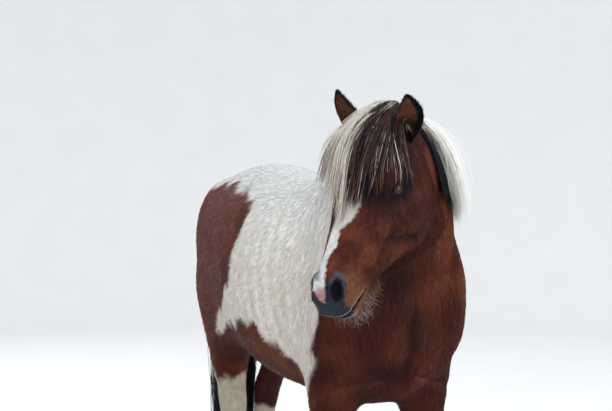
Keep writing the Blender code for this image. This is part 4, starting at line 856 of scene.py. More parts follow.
hide_finish, nodes, shader = finish_of("hide_finish", 0.68, 0.12)
coat = nodes.node("ShaderNodeAttribute", {"attribute_name": "coat"})
place = nodes.node("ShaderNodeTexCoord", None, None, 3)
stretched = nodes.node("ShaderNodeMapping", None, {"Vector": place, "Scale": (260.0, 60.0, 110.0)})
hairs = nodes.node("ShaderNodeTexNoise", None,
                   {"Vector": stretched, "Scale": 1.0, "Detail": 3.0, "Roughness": 0.6})
broad = nodes.node("ShaderNodeTexNoise", None,
                   {"Vector": place, "Scale": 34.0, "Detail": 4.0, "Roughness": 0.55})
colour = tinted(nodes, tinted(nodes, coat, hairs, 0.30), broad, 0.16)
nodes.tree.links.new(colour.socket, shader.inputs["Base Color"])
relief = nodes.node("ShaderNodeBump", None,
                    {"Strength": 0.5, "Distance": 0.0016, "Height": hairs + broad * 0.6})
nodes.tree.links.new(relief.socket, shader.inputs["Normal"])

colour_points(skin, coat_colours(read(skin.data, "co", 3)))
skin.data.materials.append(hide_finish)
LEGS = [f"{leg}_{side}_{part}" for leg in ("foreleg", "hindleg") for side in ("left", "right")
        for part in ("upper", "lower")]
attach(skin, "root")
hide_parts("torso", "neck", "head", *LEGS)


# The eyes
# Each is a moist ball under the lids: a very dark brown iris with a pupil drawn out sideways, a black rim, and
# a clear cornea. It is one closed ball whose colours are kept at its points.
IRIS, IRIS_EDGE = (0.040, 0.016, 0.008), (0.012, 0.006, 0.005)
PUPIL, EYE_WHITE = (0.002, 0.002, 0.003), (0.16, 0.11, 0.09)
IRIS_REACH, IRIS_RIM, PUPIL_SIZE = 0.0150, 0.0012, (0.0078, 0.0040)
CORNEA, CORNEA_TURN, EYE_POLE = 0.0009, 0.62, 0.02
EYE_FACING = (0.16, 1.0, 0.10)         # along, left and out on the head
EYE_WET, EYE_WET_ROUGHNESS = 0.12, 0.02


def eyeball(side):
    """A ball r(t, a) with the cornea's bulge round its front; t runs from front to back, a around."""
    t = np.linspace(EYE_POLE, math.pi - EYE_POLE, 60)[:, None]
    a = np.linspace(0, 2 * math.pi, 72, endpoint=False)
    front = head_direction(EYE_FACING, side)
    wide = NOSE * math.cos(EYE_SLANT) + FACE * math.sin(EYE_SLANT)
    wide = wide - front * (wide @ front)
    wide /= np.linalg.norm(wide)
    high = np.cross(front, wide) * side
    radius = EYE_RADIUS - CORNEA + CORNEA * np.exp(-(t / CORNEA_TURN) ** 4)
    ahead, x, y = np.broadcast_arrays(np.cos(t), np.sin(t) * np.cos(a)[None], np.sin(t) * np.sin(a)[None])
    spot = radius[..., None] * (ahead[..., None] * front + x[..., None] * wide + y[..., None] * high)
    centre = on_head(EYE[0], side * EYE[1], EYE[2])
    reach = EYE_RADIUS * np.sin(np.minimum(t, math.pi / 2)) + 0 * a
    streaks = 0.5 + 0.5 * np.sin(23 * a + 3 * np.sin(7 * a)) * np.sin(reach / 0.0011)
    colours = mixed(IRIS_EDGE, IRIS, np.clip(bell(reach, 0.009, 0.006) * (0.6 + 0.5 * streaks), 0, 1))
    pupil = np.hypot(EYE_RADIUS * x / PUPIL_SIZE[0], EYE_RADIUS * y / PUPIL_SIZE[1])
    colours = mixed(colours, PUPIL, step(1.15, 0.9, pupil))
    colours = mixed(colours, EYE_WHITE, step(IRIS_REACH, IRIS_REACH + 0.002, reach))
    colours = mixed(colours, PUPIL, bell(reach, IRIS_REACH, IRIS_RIM))
    points, faces = loft(centre + spot)
    return points, faces, colours.reshape(-1, 3)


def flecked_finish(name, roughness, specular, scale, strength):
    """A finish in the points' own colours, made darker and lighter in flecks by a fine noise."""
    material, nodes, shader = finish_of(name, roughness, specular)
    coat = nodes.node("ShaderNodeAttribute", {"attribute_name": "coat"})
    place = nodes.node("ShaderNodeTexCoord", None, None, 3)
    fleck = nodes.node("ShaderNodeTexNoise", None, {"Vector": place, "Scale": scale, "Detail": 2.0})
    nodes.tree.links.new(tinted(nodes, coat, fleck, strength).socket, shader.inputs["Base Color"])
    return material, shader


eye_finish, shader = flecked_finish("eye_finish", 0.20, 0.22, 900.0, 0.2)
shader.inputs["Coat Weight"].default_value = EYE_WET
shader.inputs["Coat Roughness"].default_value = EYE_WET_ROUGHNESS
for side, name in ((1, "left"), (-1, "right")):
    points, faces, colours = eyeball(side)
    eye = mesh_object(f"eyeball_{name}", [(points, faces)])
    colour_points(eye, colours)
    eye.data.shade_smooth()
    eye.data.materials.append(eye_finish)
    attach(eye, "root")
    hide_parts(f"eye_{name}")


# The ears
# Each is a cup of thin gristle under skin, open to the front, short-haired outside and woolly inside, with a
# black edge. It grows out of the head at the poll, and each is turned its own way.
EAR_BASE = (0.030, 0.064, -0.040)
EAR_AXIS = {1: (-0.27, 0.38, 0.88), -1: (-0.37, 0.33, 0.87)}
EAR_OPENING = {1: (0.86, 0.46, 0.23), -1: (0.88, 0.05, 0.30)}
EAR_LENGTH, EAR_SHELL, EAR_HOOK, EAR_BOW, EAR_CURL = 0.145, 0.0034, 0.012, 0.015, 0.0016
EAR_NARROWING = {1: (1.0, 0.0), -1: (1.10, 0.36)}        # width at the base, and how much less at the tip
EAR_ROWS = (        # share of the length, half width, depth
    (-0.08, 0.017, 0.020),
    (0.00, 0.020, 0.022),
    (0.18, 0.026, 0.024),
    (0.38, 0.032, 0.020),
    (0.58, 0.0305, 0.015),
    (0.76, 0.0235, 0.011),
    (0.90, 0.0125, 0.007),
    (0.97, 0.0055, 0.004),
    (1.00, 0.003, 0.002),
)
EAR_OPEN, EAR_WRAP_END = (math.radians(150), math.radians(96)), 0.45
EAR_OUTSIDE, EAR_INSIDE = (0.130, 0.036, 0.016), (0.125, 0.058, 0.028)
EAR_EDGE, EAR_SHADE_AND_STREAKS = (0.005, 0.0045, 0.006), (0.010, 0.006, 0.006)


def unit(vectors):
    """Vectors made one long."""
    return vectors / np.maximum(np.linalg.norm(vectors, axis=-1, keepdims=True), 1e-9)


def ear_colours(share, turn, inner):
    """Colours of one side of the cup: brown with a black edge and tip, and dark streaks in the inside, with
    painted shade deep in the cup towards its base.
    """
    edge = step(0.86, 0.95, np.abs(turn) + 0 * share)
    edge = edge * np.maximum(step(-0.2, 0.2, turn), step(0.40, 0.72, share)) + step(0.80, 0.92, share)
    broad_edge = step(0.30, 0.48, turn + 0.30 * step(0.45, 0.85, share)) * step(0.06, 0.16, share)
    edge = np.clip(edge + broad_edge, 0, 1)
    colours = mixed(EAR_OUTSIDE, EAR_INSIDE, inner + 0 * edge)
    if inner:
        streak = 0.5 + 0.5 * np.sin(31 * turn + 4 * np.sin(7 * share) + 2 * np.sin(13 * turn))
        # Painted shade deep in the cup, near its base, and the inside's dark streaks.
        deep = np.maximum(step(0.52, 0.22, share + 0.10 * np.abs(turn)) * 0.95, 0.55 * streak)
        colours = mixed(colours, EAR_SHADE_AND_STREAKS, deep)
        edge = edge * 0.92
    return mixed(colours, EAR_EDGE, edge)


def ear_shell(side, rows=48, across_count=40):
    """Rings of the cup and their colours: each is an arc round the back, then the same arc inside it. The edge
    curls out a little, and the lower end runs on into the skin of the head."""
    axis, front = head_direction(EAR_AXIS[side], side), head_direction(EAR_OPENING[side], side)
    front = unit(front - axis * (axis @ front))
    across = np.cross(axis, front)
    share, half, deep = columns(EAR_ROWS, rows)
    half = half * (EAR_NARROWING[side][0] - EAR_NARROWING[side][1] * share)
    spread = EAR_OPEN[0] + (EAR_OPEN[1] - EAR_OPEN[0]) * np.clip(share / EAR_WRAP_END, 0, 1)
    turn = np.linspace(-1, 1, across_count)
    angle = spread * turn
    base = on_head(EAR_BASE[0], side * EAR_BASE[1], EAR_BASE[2])
    bow = np.clip(share, 0, 1)
    hook = side * HEAD_LEFT * (EAR_BOW * (bow - bow**4) - EAR_HOOK * bow**2)[..., None]
    skins, shades = [], []
    for inner in (0, 1):
        thin = inner * np.minimum(EAR_SHELL, 0.6 * deep)
        curl = EAR_CURL * np.abs(turn) ** 6
        aside, ahead = np.sin(angle) * (half - thin + curl), np.cos(angle) * (deep - thin)
        arc = aside[..., None] * across - ahead[..., None] * front
        skins.append(base + axis * EAR_LENGTH * share[..., None] + hook + arc)
        shades.append(ear_colours(share, turn, inner))
    rings = np.concatenate([skins[0], skins[1][:, ::-1]], 1)
    return rings, np.concatenate([shades[0], shades[1][:, ::-1]], 1)


ears, ear_grids = [], []
for side, name in ((1, "left"), (-1, "right")):
    rings, shades = ear_shell(side)
    ear = mesh_object(f"ear_cup_{name}", [loft(rings)])
    colour_points(ear, shades.reshape(-1, 3))
    ear.data.shade_smooth()
    ear.data.materials.append(hide_finish)
    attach(ear, "root")
    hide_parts(f"ear_{name}")
    ears.append(ear)
    ear_grids.append((rings, shades))


# The hooves
# Dark horn with paler streaks and rings of growth, shaped to the flat sole that the horse stands on, with a
# soft periople band under the hair at the top.
CORONET, CORONET_SLOPE, CORONET_GAP = 0.066, math.radians(20), 0.0006
HOOF_SOLE, HOOF_TOP = (0.061, 0.098, 0.034), (0.053, 0.058, 0.056)       # half width, toe and heel
# Shares of the height, and how full the wall is there: rounded in at the sole, turned in over the coronet
HOOF_EDGE, HOOF_WALL, HOOF_BAND = (0, 0, 0.02, 0.05), (0.09, 0.93, 30), (0.96, 0.985, 1.0, 0.97, 0.9)
HOOF_EDGE_FULL, HOOF_BAND_FULL = (0.90, 0.965, 0.985, 0.995), (1.005, 0.99, 0.95, 0.86, 0.6)
GROWTH_RING, GROWTH_RINGS = 0.0007 / 0.06, 46
HORN, HORN_PALE, HORN_BAND = (0.060, 0.048, 0.038), (0.150, 0.120, 0.090), (0.110, 0.095, 0.080)


def hoof_wall(rows, stance, side, shift):
    """Rings from the sole up to the sloping coronet: straight walls with rings of growth, the sole's edge
    rounded in, and a soft band swelling at the top that turns in under the hair."""
    left, forward = leg_place(rows, stance, side, shift, CORONET)
    angle = np.linspace(0, 2 * math.pi, 72, endpoint=False)
    c, s = np.cos(angle), np.sin(angle)
    sole, top = (np.stack([half * c, np.where(s > 0, toe, heel) * s], 1)
                 for half, toe, heel in (HOOF_SOLE, HOOF_TOP))
    height = CORONET + math.tan(CORONET_SLOPE) * top[:, 1] - CORONET_GAP
    share = np.array([*HOOF_EDGE, *np.linspace(*HOOF_WALL), *HOOF_BAND])[:, None]
    swell = np.array([*HOOF_EDGE_FULL, *np.ones(HOOF_WALL[2]), *HOOF_BAND_FULL])[:, None]
    ridges = GROWTH_RING * np.sin(share * GROWTH_RINGS + 2 * np.sin(share * 9))
    ridges = ridges * step(0.05, 0.15, share) * step(1.0, 0.85, share)
    flat = (sole + (top - sole) * share[..., None]) * swell[..., None] * (1 + ridges[..., None])
    rings = at(left + flat[..., 0], forward + flat[..., 1], height * share)
    shade = mixed(HORN, HORN_PALE, 0.35 + 0.35 * np.sin(share * 40 + 4 * c) * np.sin(9 * angle + 2 * share))
    shade = mixed(shade, HORN_BAND, step(0.90, 0.97, share + 0 * c))
    return rings, np.clip(shade, 0, 1)


horn_finish, nodes, shader = finish_of("horn_finish", 0.42, 0.45)
coat = nodes.node("ShaderNodeAttribute", {"attribute_name": "coat"})
place = nodes.node("ShaderNodeTexCoord", None, None, 3)
fibres = nodes.node("ShaderNodeMapping", None, {"Vector": place, "Scale": (420.0, 420.0, 26.0)})
grain = nodes.node("ShaderNodeTexNoise", None,
                   {"Vector": fibres, "Scale": 1.0, "Detail": 4.0, "Roughness": 0.6})
nodes.tree.links.new(tinted(nodes, coat, grain, 0.45).socket, shader.inputs["Base Color"])
relief = nodes.node("ShaderNodeBump", None, {"Strength": 0.4, "Distance": 0.0008, "Height": grain})
nodes.tree.links.new(relief.socket, shader.inputs["Normal"])
nodes.tree.links.new((grain * 0.3 + 0.3).socket, shader.inputs["Roughness"])
for leg, rows, stance, shifts, bones in LEG_KINDS:
    for side, name in ((1, "left"), (-1, "right")):
        rings, shades = hoof_wall(rows, stance, side, shifts[side])
        hoof = mesh_object(f"horn_{leg}_{name}", [loft(rings)])
        colour_points(hoof, shades.reshape(-1, 3))
        hoof.data.shade_smooth()
        hoof.data.materials.append(horn_finish)
        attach(hoof, "root")
        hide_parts(f"hoof_{leg}_{name}")


# The mane
# Long coarse hair, two hand-widths deep, rooted along the crest and combed by its weight over the left side of
# the neck: a black layer next to the skin, cream over it. Each hair here is a tapered strand of about ten.
MANE_COUNT, MANE_UNDER, MANE_BY_POLL, MANE_STEPS, MANE_LOCK = 3700, 800, 300, 9, 14
# Roots as shares of the crest from withers to poll, and how far to the left of its middle they stand
MANE_ROOTS, MANE_UNDER_ROOTS, MANE_TOP_ROOTS = (0.12, 0.74), (0.58, 0.80), (0.74, 0.95)
MANE_ASIDE, MANE_UNDER_ASIDE, MANE_FORWARD = (-0.020, 0.022), (0.020, 0.045), 0.65
MANE_LENGTH, MANE_HALF, MANE_THICK = (0.31, 0.50), (0.0008, 0.0017), 0.0006
MANE_WITHERS, MANE_UNDER_LENGTH, MANE_POLL_LENGTH = ((0.12, 0.36), (0.50, 1.0)), 0.72, 0.30
MANE_DROOP, MANE_PULL, MANE_WAVE = (0.38, 0.52), (0.3, 0.8), 0.0035
# How hairs set out: to the side, lifted by their layer, leaning lock by lock; and the room they keep, by layer
MANE_SIDEWAYS, MANE_LIFT, MANE_LEAN = 0.85, (0.10, 0.42), (0.08, -0.03)
MANE_ROOM, MANE_UNDER_ROOM = (0.008, 0.030), (0.003, 0.007)
MANE_SHINE = (0.60, 0.8, 0.15)        # normals of the cream hair: forwards, up, and to its side or at random
MANE_CREAM, MANE_YELLOW = (0.86, 0.84, 0.79), (0.76, 0.70, 0.58)
MANE_GREY, MANE_BLACK = (0.50, 0.47, 0.45), (0.0040, 0.0040, 0.0065)
HAIR_ROOT, PATCH_SIZE = 0.004, 0.003        # how deep a hair starts in the hide, and its patch on the unwrap
DOWN = np.array([0, 0, -1.0])
rng = np.random.default_rng(11)


def tree_of(objects):
    """A search tree over the faces of several closed meshes."""
    points, faces, first = [], [], 0
    for obj in objects:
        points.extend(read(obj.data, "co", 3).tolist())
        faces.extend([[i + first for i in face.vertices] for face in obj.data.polygons])
        first = len(points)
    return BVHTree.FromPolygons(points, faces)


def cast_down(tree, starts, ways):
    """Where rays first meet the hide, which way it faces there, and which rays meet it."""
    found = [tree.ray_cast(Vector(start), Vector(way)) for start, way in zip(starts.tolist(), ways.tolist())]
    hit = np.array([f[0] is not None for f in found])
    places = np.array([f[0] if f[0] is not None else (0, 0, 0) for f in found])
    facing = np.array([f[1] if f[0] is not None else (0, 0, 1) for f in found])
    return places, facing, hit


def clear_of(tree, points, room):
    """Points moved out along the hide's normal until they stand room off it."""
    found = [tree.find_nearest(Vector(point)) for point in points.tolist()]
    place, facing = np.array([f[0] for f in found]), np.array([f[1] for f in found])
    away = points - place
    low = ((away * facing).sum(1) < 0) | (np.linalg.norm(away, axis=1) < room)
    return np.where(low[:, None], place + facing * room[:, None], points)


def eased(paths):
    """Paths smoothed twice by the weights 1, 2, 1, with roots and tips kept."""
    for _ in range(2):
        paths[:, 2:-1] = (paths[:, 1:-2] + 2 * paths[:, 2:-1] + paths[:, 3:]) / 4
    return paths


def drape(tree, roots, outs, ways, lengths, droops, rooms, steps):
    """Paths of hairs. Each takes even strides; at each its way turns down by its droop, and where it would come
    nearer to the hide than its room it is pushed out, and goes on from there."""
    stride = (lengths / steps)[:, None]
    points = [roots - outs * HAIR_ROOT, roots + outs * 0.003]
    ways = unit(ways)
    for i in range(steps - 1):
        ways = unit(ways + droops[:, None] * DOWN)
        moved = clear_of(tree, points[-1] + ways * stride, rooms * min(1.0, 0.4 + 0.3 * i))
        ways = unit(moved - points[-1])
        points.append(moved)
    return eased(np.stack(points, 1))


def gathered(paths, groups, strength, start=0.25):
    """Paths drawn towards the mean path of their group, more and more from start to the tip."""
    count = np.bincount(groups, minlength=groups.max() + 1)[:, None, None]
    total = np.zeros((groups.max() + 1, *paths.shape[1:]))
    np.add.at(total, groups, paths)
    middle = (total / np.maximum(count, 1))[groups]
    share = np.linspace(0, 1, paths.shape[1])[None, :, None]
    pull = np.asarray(strength).reshape(-1, 1, 1) * step(start, 1.0, share)
    return paths + (middle - paths) * pull


def waved(paths, size, draw):
    """Paths given slow sideways waves that grow from root to tip."""
    share = np.linspace(0, 1, paths.shape[1])[None, :, None]
    ways = draw.normal(size=(len(paths), 1, 3)) * size
    turns = draw.uniform(0.5, 1.6, (len(paths), 1, 1))
    lag = draw.uniform(0, 2 * math.pi, (len(paths), 1, 1))
    return paths + ways * share * np.sin(2 * math.pi * turns * share + lag)


def strand_mesh(name, paths, facings, half, thick, run, colours, spots, own_normals=None):
    """Tapered strands of three sides: a ring across each point of the path, flat side to the hide, and one
    point at the tip. run gives their width along them, as shares of half. spots are the places of the roots on
    the unwrapped hide, where each has its own patch."""
    n, k, _ = paths.shape
    way = unit(np.gradient(paths, axis=1))
    across = unit(np.cross(way, np.broadcast_to(facings, way.shape)))
    rise = np.cross(across, way)
    share = np.linspace(0, 1, k)
    wide = half[:, None] * np.interp(share, *run)[None]
    high = thick * wide / half.max()
    wide, high = wide[..., None], high[..., None]
    rings = np.stack([paths + across * wide, paths + rise * high * 1.6, paths - across * wide], 2)[:, :-1]
    own = 3 * (k - 1) + 1
    points = np.concatenate([rings.reshape(n, -1, 3), paths[:, -1:]], 1)
    ring = np.arange(3)
    a = (3 * np.arange(k - 2)[:, None] + ring).ravel()
    b = (3 * np.arange(k - 2)[:, None] + (ring + 1) % 3).ravel()
    last, tip = 3 * (k - 2), own - 1
    tris = np.concatenate([np.stack([a, b, b + 3], 1), np.stack([a, b + 3, a + 3], 1),
                           np.stack([last + ring, last + (ring + 1) % 3, tip + 0 * ring], 1), [[0, 2, 1]]])
    tris = (tris[None, :, ::-1] + own * np.arange(n)[:, None, None]).reshape(-1, 3)
    mesh = bpy.data.meshes.new(name)
    mesh.vertices.add(n * own)
    mesh.vertices.foreach_set("co", points.astype(np.float32).ravel())
    mesh.loops.add(3 * len(tris))
    mesh.loops.foreach_set("vertex_index", tris.astype(np.int32).ravel())
    mesh.polygons.add(len(tris))
    mesh.polygons.foreach_set("loop_start", np.arange(0, 3 * len(tris), 3, dtype=np.int32))
    mesh.update(calc_edges=True)
    obj = bpy.data.objects.new(name, mesh)
    bpy.context.scene.collection.objects.link(obj)
    shade = np.repeat(colours[:, :-1], 3, axis=1)
    colour_points(obj, np.concatenate([shade, colours[:, -1:]], 1).reshape(-1, 3))
    patch = np.concatenate([np.stack([np.tile(ring / 2, k - 1), np.repeat(share[:-1], 3)], 1), [[0.5, 1.0]]])
    spread = (spots[:, None] + PATCH_SIZE * (patch[None] - 0.5)).reshape(-1, 2)[tris.ravel()]
    mesh.uv_layers.new(name="OFBake").data.foreach_set("uv", spread.astype(np.float32).ravel())
    mesh.shade_smooth()
    if own_normals is not None:
        mesh.normals_split_custom_set_from_vertices(np.repeat(own_normals, own, axis=0).tolist())
    return obj


def spread_out(first, second):
    """Shares of 0 to 1 in two directions, drawn in from the edges of the unwrapped hide."""
    return np.clip(np.stack([first, second], 1), 0, 1) * 0.98 + 0.01


def per_hair(pairs, draw, count):
    """Even random numbers between a pair of limits."""
    return draw.uniform(pairs[0], pairs[1], count)


hair_finish, shader = flecked_finish("hair_finish", 0.50, 0.20, 420.0, 0.22)
HAIR_RUN = ((0, 0.12, 0.6, 0.9, 1), (0.7, 1.0, 0.85, 0.45, 0.1))
CREST_PLACES = 200
body_tree = tree_of([skin])
crest_rows = smooth_rows([(*crest, turn) for crest, throat, half, turn in NECK], CREST_PLACES)


def on_crest(tree, share, across_by):
    """Roots on the crest at shares of its length, set across_by to the left of its middle."""
    last = CREST_PLACES - 1
    left, forward, up, turn = crest_rows[np.clip((share * last).astype(int), 0, last)].T
    across = np.stack([np.cos(np.radians(turn)), -np.sin(np.radians(turn)), 0 * turn], 1)
    starts = at(left, forward, up + 0.1) + across * across_by[:, None]
    roots, outs, hit = cast_down(tree, starts, DOWN + 0 * starts)
    return roots, outs, across


under = np.arange(MANE_COUNT) < MANE_UNDER
by_poll = np.arange(MANE_COUNT) >= MANE_COUNT - MANE_BY_POLL
share = MANE_ROOTS[0] + (MANE_ROOTS[1] - MANE_ROOTS[0]) * rng.random(MANE_COUNT) ** MANE_FORWARD
share = np.where(under, per_hair(MANE_UNDER_ROOTS, rng, MANE_COUNT), share)
share = np.where(by_poll, per_hair(MANE_TOP_ROOTS, rng, MANE_COUNT), share)
across_by = np.where(under, per_hair(MANE_UNDER_ASIDE, rng, MANE_COUNT), per_hair(MANE_ASIDE, rng, MANE_COUNT))
roots, outs, across = on_crest(body_tree, share, across_by)
# Hairs that grow side by side gather into locks, the black ones under the cream apart from those
groups = np.argsort(np.argsort(share + 0.03 * rng.random(MANE_COUNT))) // MANE_LOCK
groups = groups + np.where(under, 0, 400)
lean = rng.normal(size=groups.max() + 1)[groups] * MANE_LEAN[0]
layer = rng.random(MANE_COUNT)
lift = np.where(under, 0.0, MANE_LIFT[0] + MANE_LIFT[1] * layer)
ways = MANE_SIDEWAYS * across - DOWN * lift[:, None] + at(0, lean + MANE_LEAN[1], 0) + ORIGIN
lengths = per_hair(MANE_LENGTH, rng, MANE_COUNT) * np.where(under, MANE_UNDER_LENGTH, 0.85 + 0.15 * layer)
lengths = lengths * np.interp(share, *MANE_WITHERS) * np.where(by_poll, MANE_POLL_LENGTH, 1.0)
rooms = np.where(under, MANE_UNDER_ROOM[0] + MANE_UNDER_ROOM[1] * layer, MANE_ROOM[0] + MANE_ROOM[1] * layer)
paths = drape(body_tree, roots, outs, ways, lengths, per_hair(MANE_DROOP, rng, MANE_COUNT), rooms, MANE_STEPS)
paths = waved(gathered(paths, groups, per_hair(MANE_PULL, rng, MANE_COUNT)), MANE_WAVE, rng)
tone = rng.random(MANE_COUNT)
colours = mixed(MANE_CREAM, MANE_YELLOW, step(0.55, 1.0, tone) * 0.8)
colours = mixed(colours, MANE_GREY, step(0.90, 0.96, rng.random(MANE_COUNT)) * 0.8)
tips = np.linspace(0, 1, MANE_STEPS + 1)[None, :, None]
colours = np.where(under[:, None], MANE_BLACK, colours)[:, None]
colours = colours * (1 - 0.25 * tips * rng.random((MANE_COUNT, 1, 1)))
facing = unit(outs[:, None] * 0.4 + across[:, None] * np.ones((1, MANE_STEPS + 1, 1)))
# Cream hair takes the light of the sky all along it, as hair that light passes through does
ahead, above, loose = MANE_SHINE
own = at(0, ahead, above) + ORIGIN + loose * across + loose * rng.normal(size=(MANE_COUNT, 3))
own = unit(np.where(under[:, None], outs, own))
mane = strand_mesh("mane", paths, facing, per_hair(MANE_HALF, rng, MANE_COUNT), MANE_THICK, HAIR_RUN, colours,
                   spread_out(share, 0.5 + across_by / 0.08), own)
mane.data.materials.append(hair_finish)
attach(mane, "root")
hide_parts("neck")


# The forelock
# The mane's front end, rooted on the poll between the ears and spread over the forehead: a cream swath on the
# right side, dark brown-grey hair with cream streaks in the middle, and black under it by the left eye. Each
# hair runs between two of six guide locks, laid over the forehead from right to left.
UNDER_HAIRS, MIDDLE_HAIRS, SWATH_HAIRS = 850, 1150, 1300
FORELOCK_COUNT, FORELOCK_STEPS, FORELOCK_LOCK = UNDER_HAIRS + MIDDLE_HAIRS + SWATH_HAIRS, 10, 11
FORELOCK_HALF, FORELOCK_THICK, FORELOCK_WAVE = (0.0005, 0.0011), 0.0004, 0.0030
FORELOCK_BROWN, FORELOCK_MAUVE = (0.034, 0.018, 0.017), (0.074, 0.038, 0.034)
FORELOCK_TAN, FORELOCK_CREAM = (0.240, 0.115, 0.060), (0.70, 0.66, 0.58)
FORELOCK_ROOM, GUIDE_PLACES, LONGER_SHARE = (0.003, 0.016), 100, 0.35
# Limits for under-hair, middle and swath: place among the guides, length as a share of a guide's, how much
# longer some are, and how far roots are spread along and to the side
FORELOCK_PLACES = ((0.40, 0.97), (0.34, 1.0), (0.0, 0.42))
FORELOCK_LENGTHS = ((0.58, 0.80), (0.31, 0.57), (0.60, 0.88))
FORELOCK_LONGER = ((0.0, 0.10), (0.05, 0.40), (0.0, 0.25))
FORELOCK_ALONG = ((-0.016, 0.016), (-0.016, 0.016), (-0.016, 0.016))
FORELOCK_ASIDE = ((-0.02, 0.012), (-0.02, 0.012), (-0.03, 0.012))
FORELOCK_GUIDES = (        # seven places on each, from root to tip, as along, left and out on the head
    ((-0.040, 0.034, 0.008), (-0.006, -0.030, 0.020), (0.040, -0.080, 0.012), (0.075, -0.130, -0.010),
     (0.128, -0.150, -0.030), (0.175, -0.160, -0.055), (0.215, -0.165, -0.080)),
    ((-0.035, 0.037, 0.010), (0.000, 0.006, 0.030), (0.057, -0.047, 0.040), (0.116, -0.065, 0.030),
     (0.170, -0.074, 0.000), (0.230, -0.071, -0.020), (0.290, -0.064, -0.030)),
    ((-0.030, 0.040, 0.012), (-0.015, 0.038, 0.035), (0.036, -0.018, 0.036), (0.105, -0.038, 0.035),
     (0.200, -0.030, 0.020), (0.300, -0.010, 0.012), (0.385, 0.002, 0.010)),
    ((-0.030, 0.045, 0.010), (0.003, 0.047, 0.030), (0.070, 0.035, 0.030), (0.143, 0.025, 0.025),
     (0.215, 0.029, 0.020), (0.297, 0.041, 0.010), (0.370, 0.046, 0.000)),
    ((-0.025, 0.048, 0.005), (0.015, 0.056, 0.018), (0.066, 0.061, 0.004), (0.140, 0.074, 0.000),
     (0.194, 0.073, -0.030), (0.257, 0.079, -0.050), (0.315, 0.078, -0.070)),
    ((-0.020, 0.050, -0.005), (0.012, 0.063, 0.004), (0.066, 0.082, -0.020), (0.113, 0.102, -0.040),
     (0.137, 0.109, -0.080), (0.160, 0.107, -0.120), (0.190, 0.105, -0.165)),
)
head_tree = tree_of([skin, *ears])
kind = np.repeat([0, 1, 2], [UNDER_HAIRS, MIDDLE_HAIRS, SWATH_HAIRS])


def pick(*limits):
    """Even random numbers for each hair, between the limits for under-hair, middle and swath."""
    drawn = np.array([rng.uniform(*limit, FORELOCK_COUNT) for limit in limits])
    return drawn[kind, np.arange(FORELOCK_COUNT)]


place = pick(*FORELOCK_PLACES)
layer = rng.random(FORELOCK_COUNT) * np.where(kind == 0, 0.3, 1.0)
groups = np.argsort(np.argsort(kind * 2 + place + 0.03 * rng.random(FORELOCK_COUNT))) // FORELOCK_LOCK
drawn = rng.random((groups.max() + 1, 3))[groups]
lines = np.stack([smooth_rows(guide, GUIDE_PLACES + 1) for guide in FORELOCK_GUIDES])
guide, between = np.divmod(np.clip(place, 0, 0.999) * (len(lines) - 1), 1)
guide, between = guide.astype(int), between[:, None, None]
reach = np.linspace(0, 1, FORELOCK_STEPS + 1)[None]
lengths = pick(*FORELOCK_LENGTHS) * (0.86 + 0.22 * drawn[:, 1])
lengths = lengths + pick(*FORELOCK_LONGER) * (rng.random(FORELOCK_COUNT) < LONGER_SHARE)
steps = (np.minimum(lengths, 1.0)[:, None] * reach * GUIDE_PLACES).astype(int)
sizes = lines[guide[:, None], steps] * (1 - between) + lines[guide[:, None] + 1, steps] * between
# Roots are spread over the poll, tips part lock by lock, and upper layers stand off the forehead
spread = np.stack([pick(*FORELOCK_ALONG), pick(*FORELOCK_ASIDE), 0 * place], 1)
parting = (drawn[:, None] - 0.5) * np.array([0.0, 0.022, 0.008])
sizes = sizes + spread[:, None] * (1 - reach[..., None]) ** 2 + parting * reach[..., None]
sizes[..., 2] += (layer[:, None] - 0.45) * 0.034 * np.minimum(1, 4 * reach)
paths = on_head(sizes[..., 0], sizes[..., 1], sizes[..., 2])
found = [head_tree.find_nearest(Vector(root)) for root in paths[:, 0].tolist()]
paths[:, 0] = np.array([f[0] for f in found]) - HAIR_ROOT * np.array([f[1] for f in found])
rooms = np.repeat(FORELOCK_ROOM[0] + FORELOCK_ROOM[1] * layer, FORELOCK_STEPS)
paths[:, 1:] = clear_of(head_tree, paths[:, 1:].reshape(-1, 3), rooms).reshape(FORELOCK_COUNT, -1, 3)
paths = waved(gathered(eased(paths), groups, 0.15 + 0.45 * drawn[:, 1]), FORELOCK_WAVE, rng)
streaks = (kind == 1) & (drawn[:, 2] < 0.16) & (rng.random(FORELOCK_COUNT) < 0.35)
white = (kind == 2) & (drawn[:, 2] > 0.14) | streaks
tone = rng.random((FORELOCK_COUNT, 1))
tone_along = tone * np.ones_like(reach)
black = np.maximum(0.8 * step(0.40, 0.75, reach) * (tone < 0.45), 0.9 * (tone < 0.34))
colours = mixed(mixed(FORELOCK_BROWN, FORELOCK_MAUVE, tone_along), MANE_BLACK, black)
colours = mixed(colours, FORELOCK_TAN, step(0.55, 0.95, reach) * (tone > 0.68))
pale = mixed(FORELOCK_CREAM, MANE_YELLOW, 0.7 * tone_along)
pale = mixed(pale, FORELOCK_TAN, 0.8 * step(0.60, 0.95, reach) * (tone > 0.60))
outer = step(0.10, 0.02, place)[:, None]
pale = mixed(pale, FORELOCK_MAUVE, 0.9 * step(0.55, 0.85, reach) * outer * (tone > 0.3))
colours = np.where(white[:, None, None], pale, colours)
colours = np.where((kind == 0)[:, None, None], np.array(MANE_BLACK) * (0.7 + 1.2 * tone[..., None]), colours)
facing = unit(FACE[None, None] + (place[:, None, None] - 0.5) * HEAD_LEFT + 0 * paths)
forelock = strand_mesh("forelock", paths, facing, per_hair(FORELOCK_HALF, rng, FORELOCK_COUNT), FORELOCK_THICK,
                       HAIR_RUN, colours, spread_out(place, 0.5 + spread[:, 0] * 12))
forelock.data.materials.append(hair_finish)
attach(forelock, "root")
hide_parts("head")


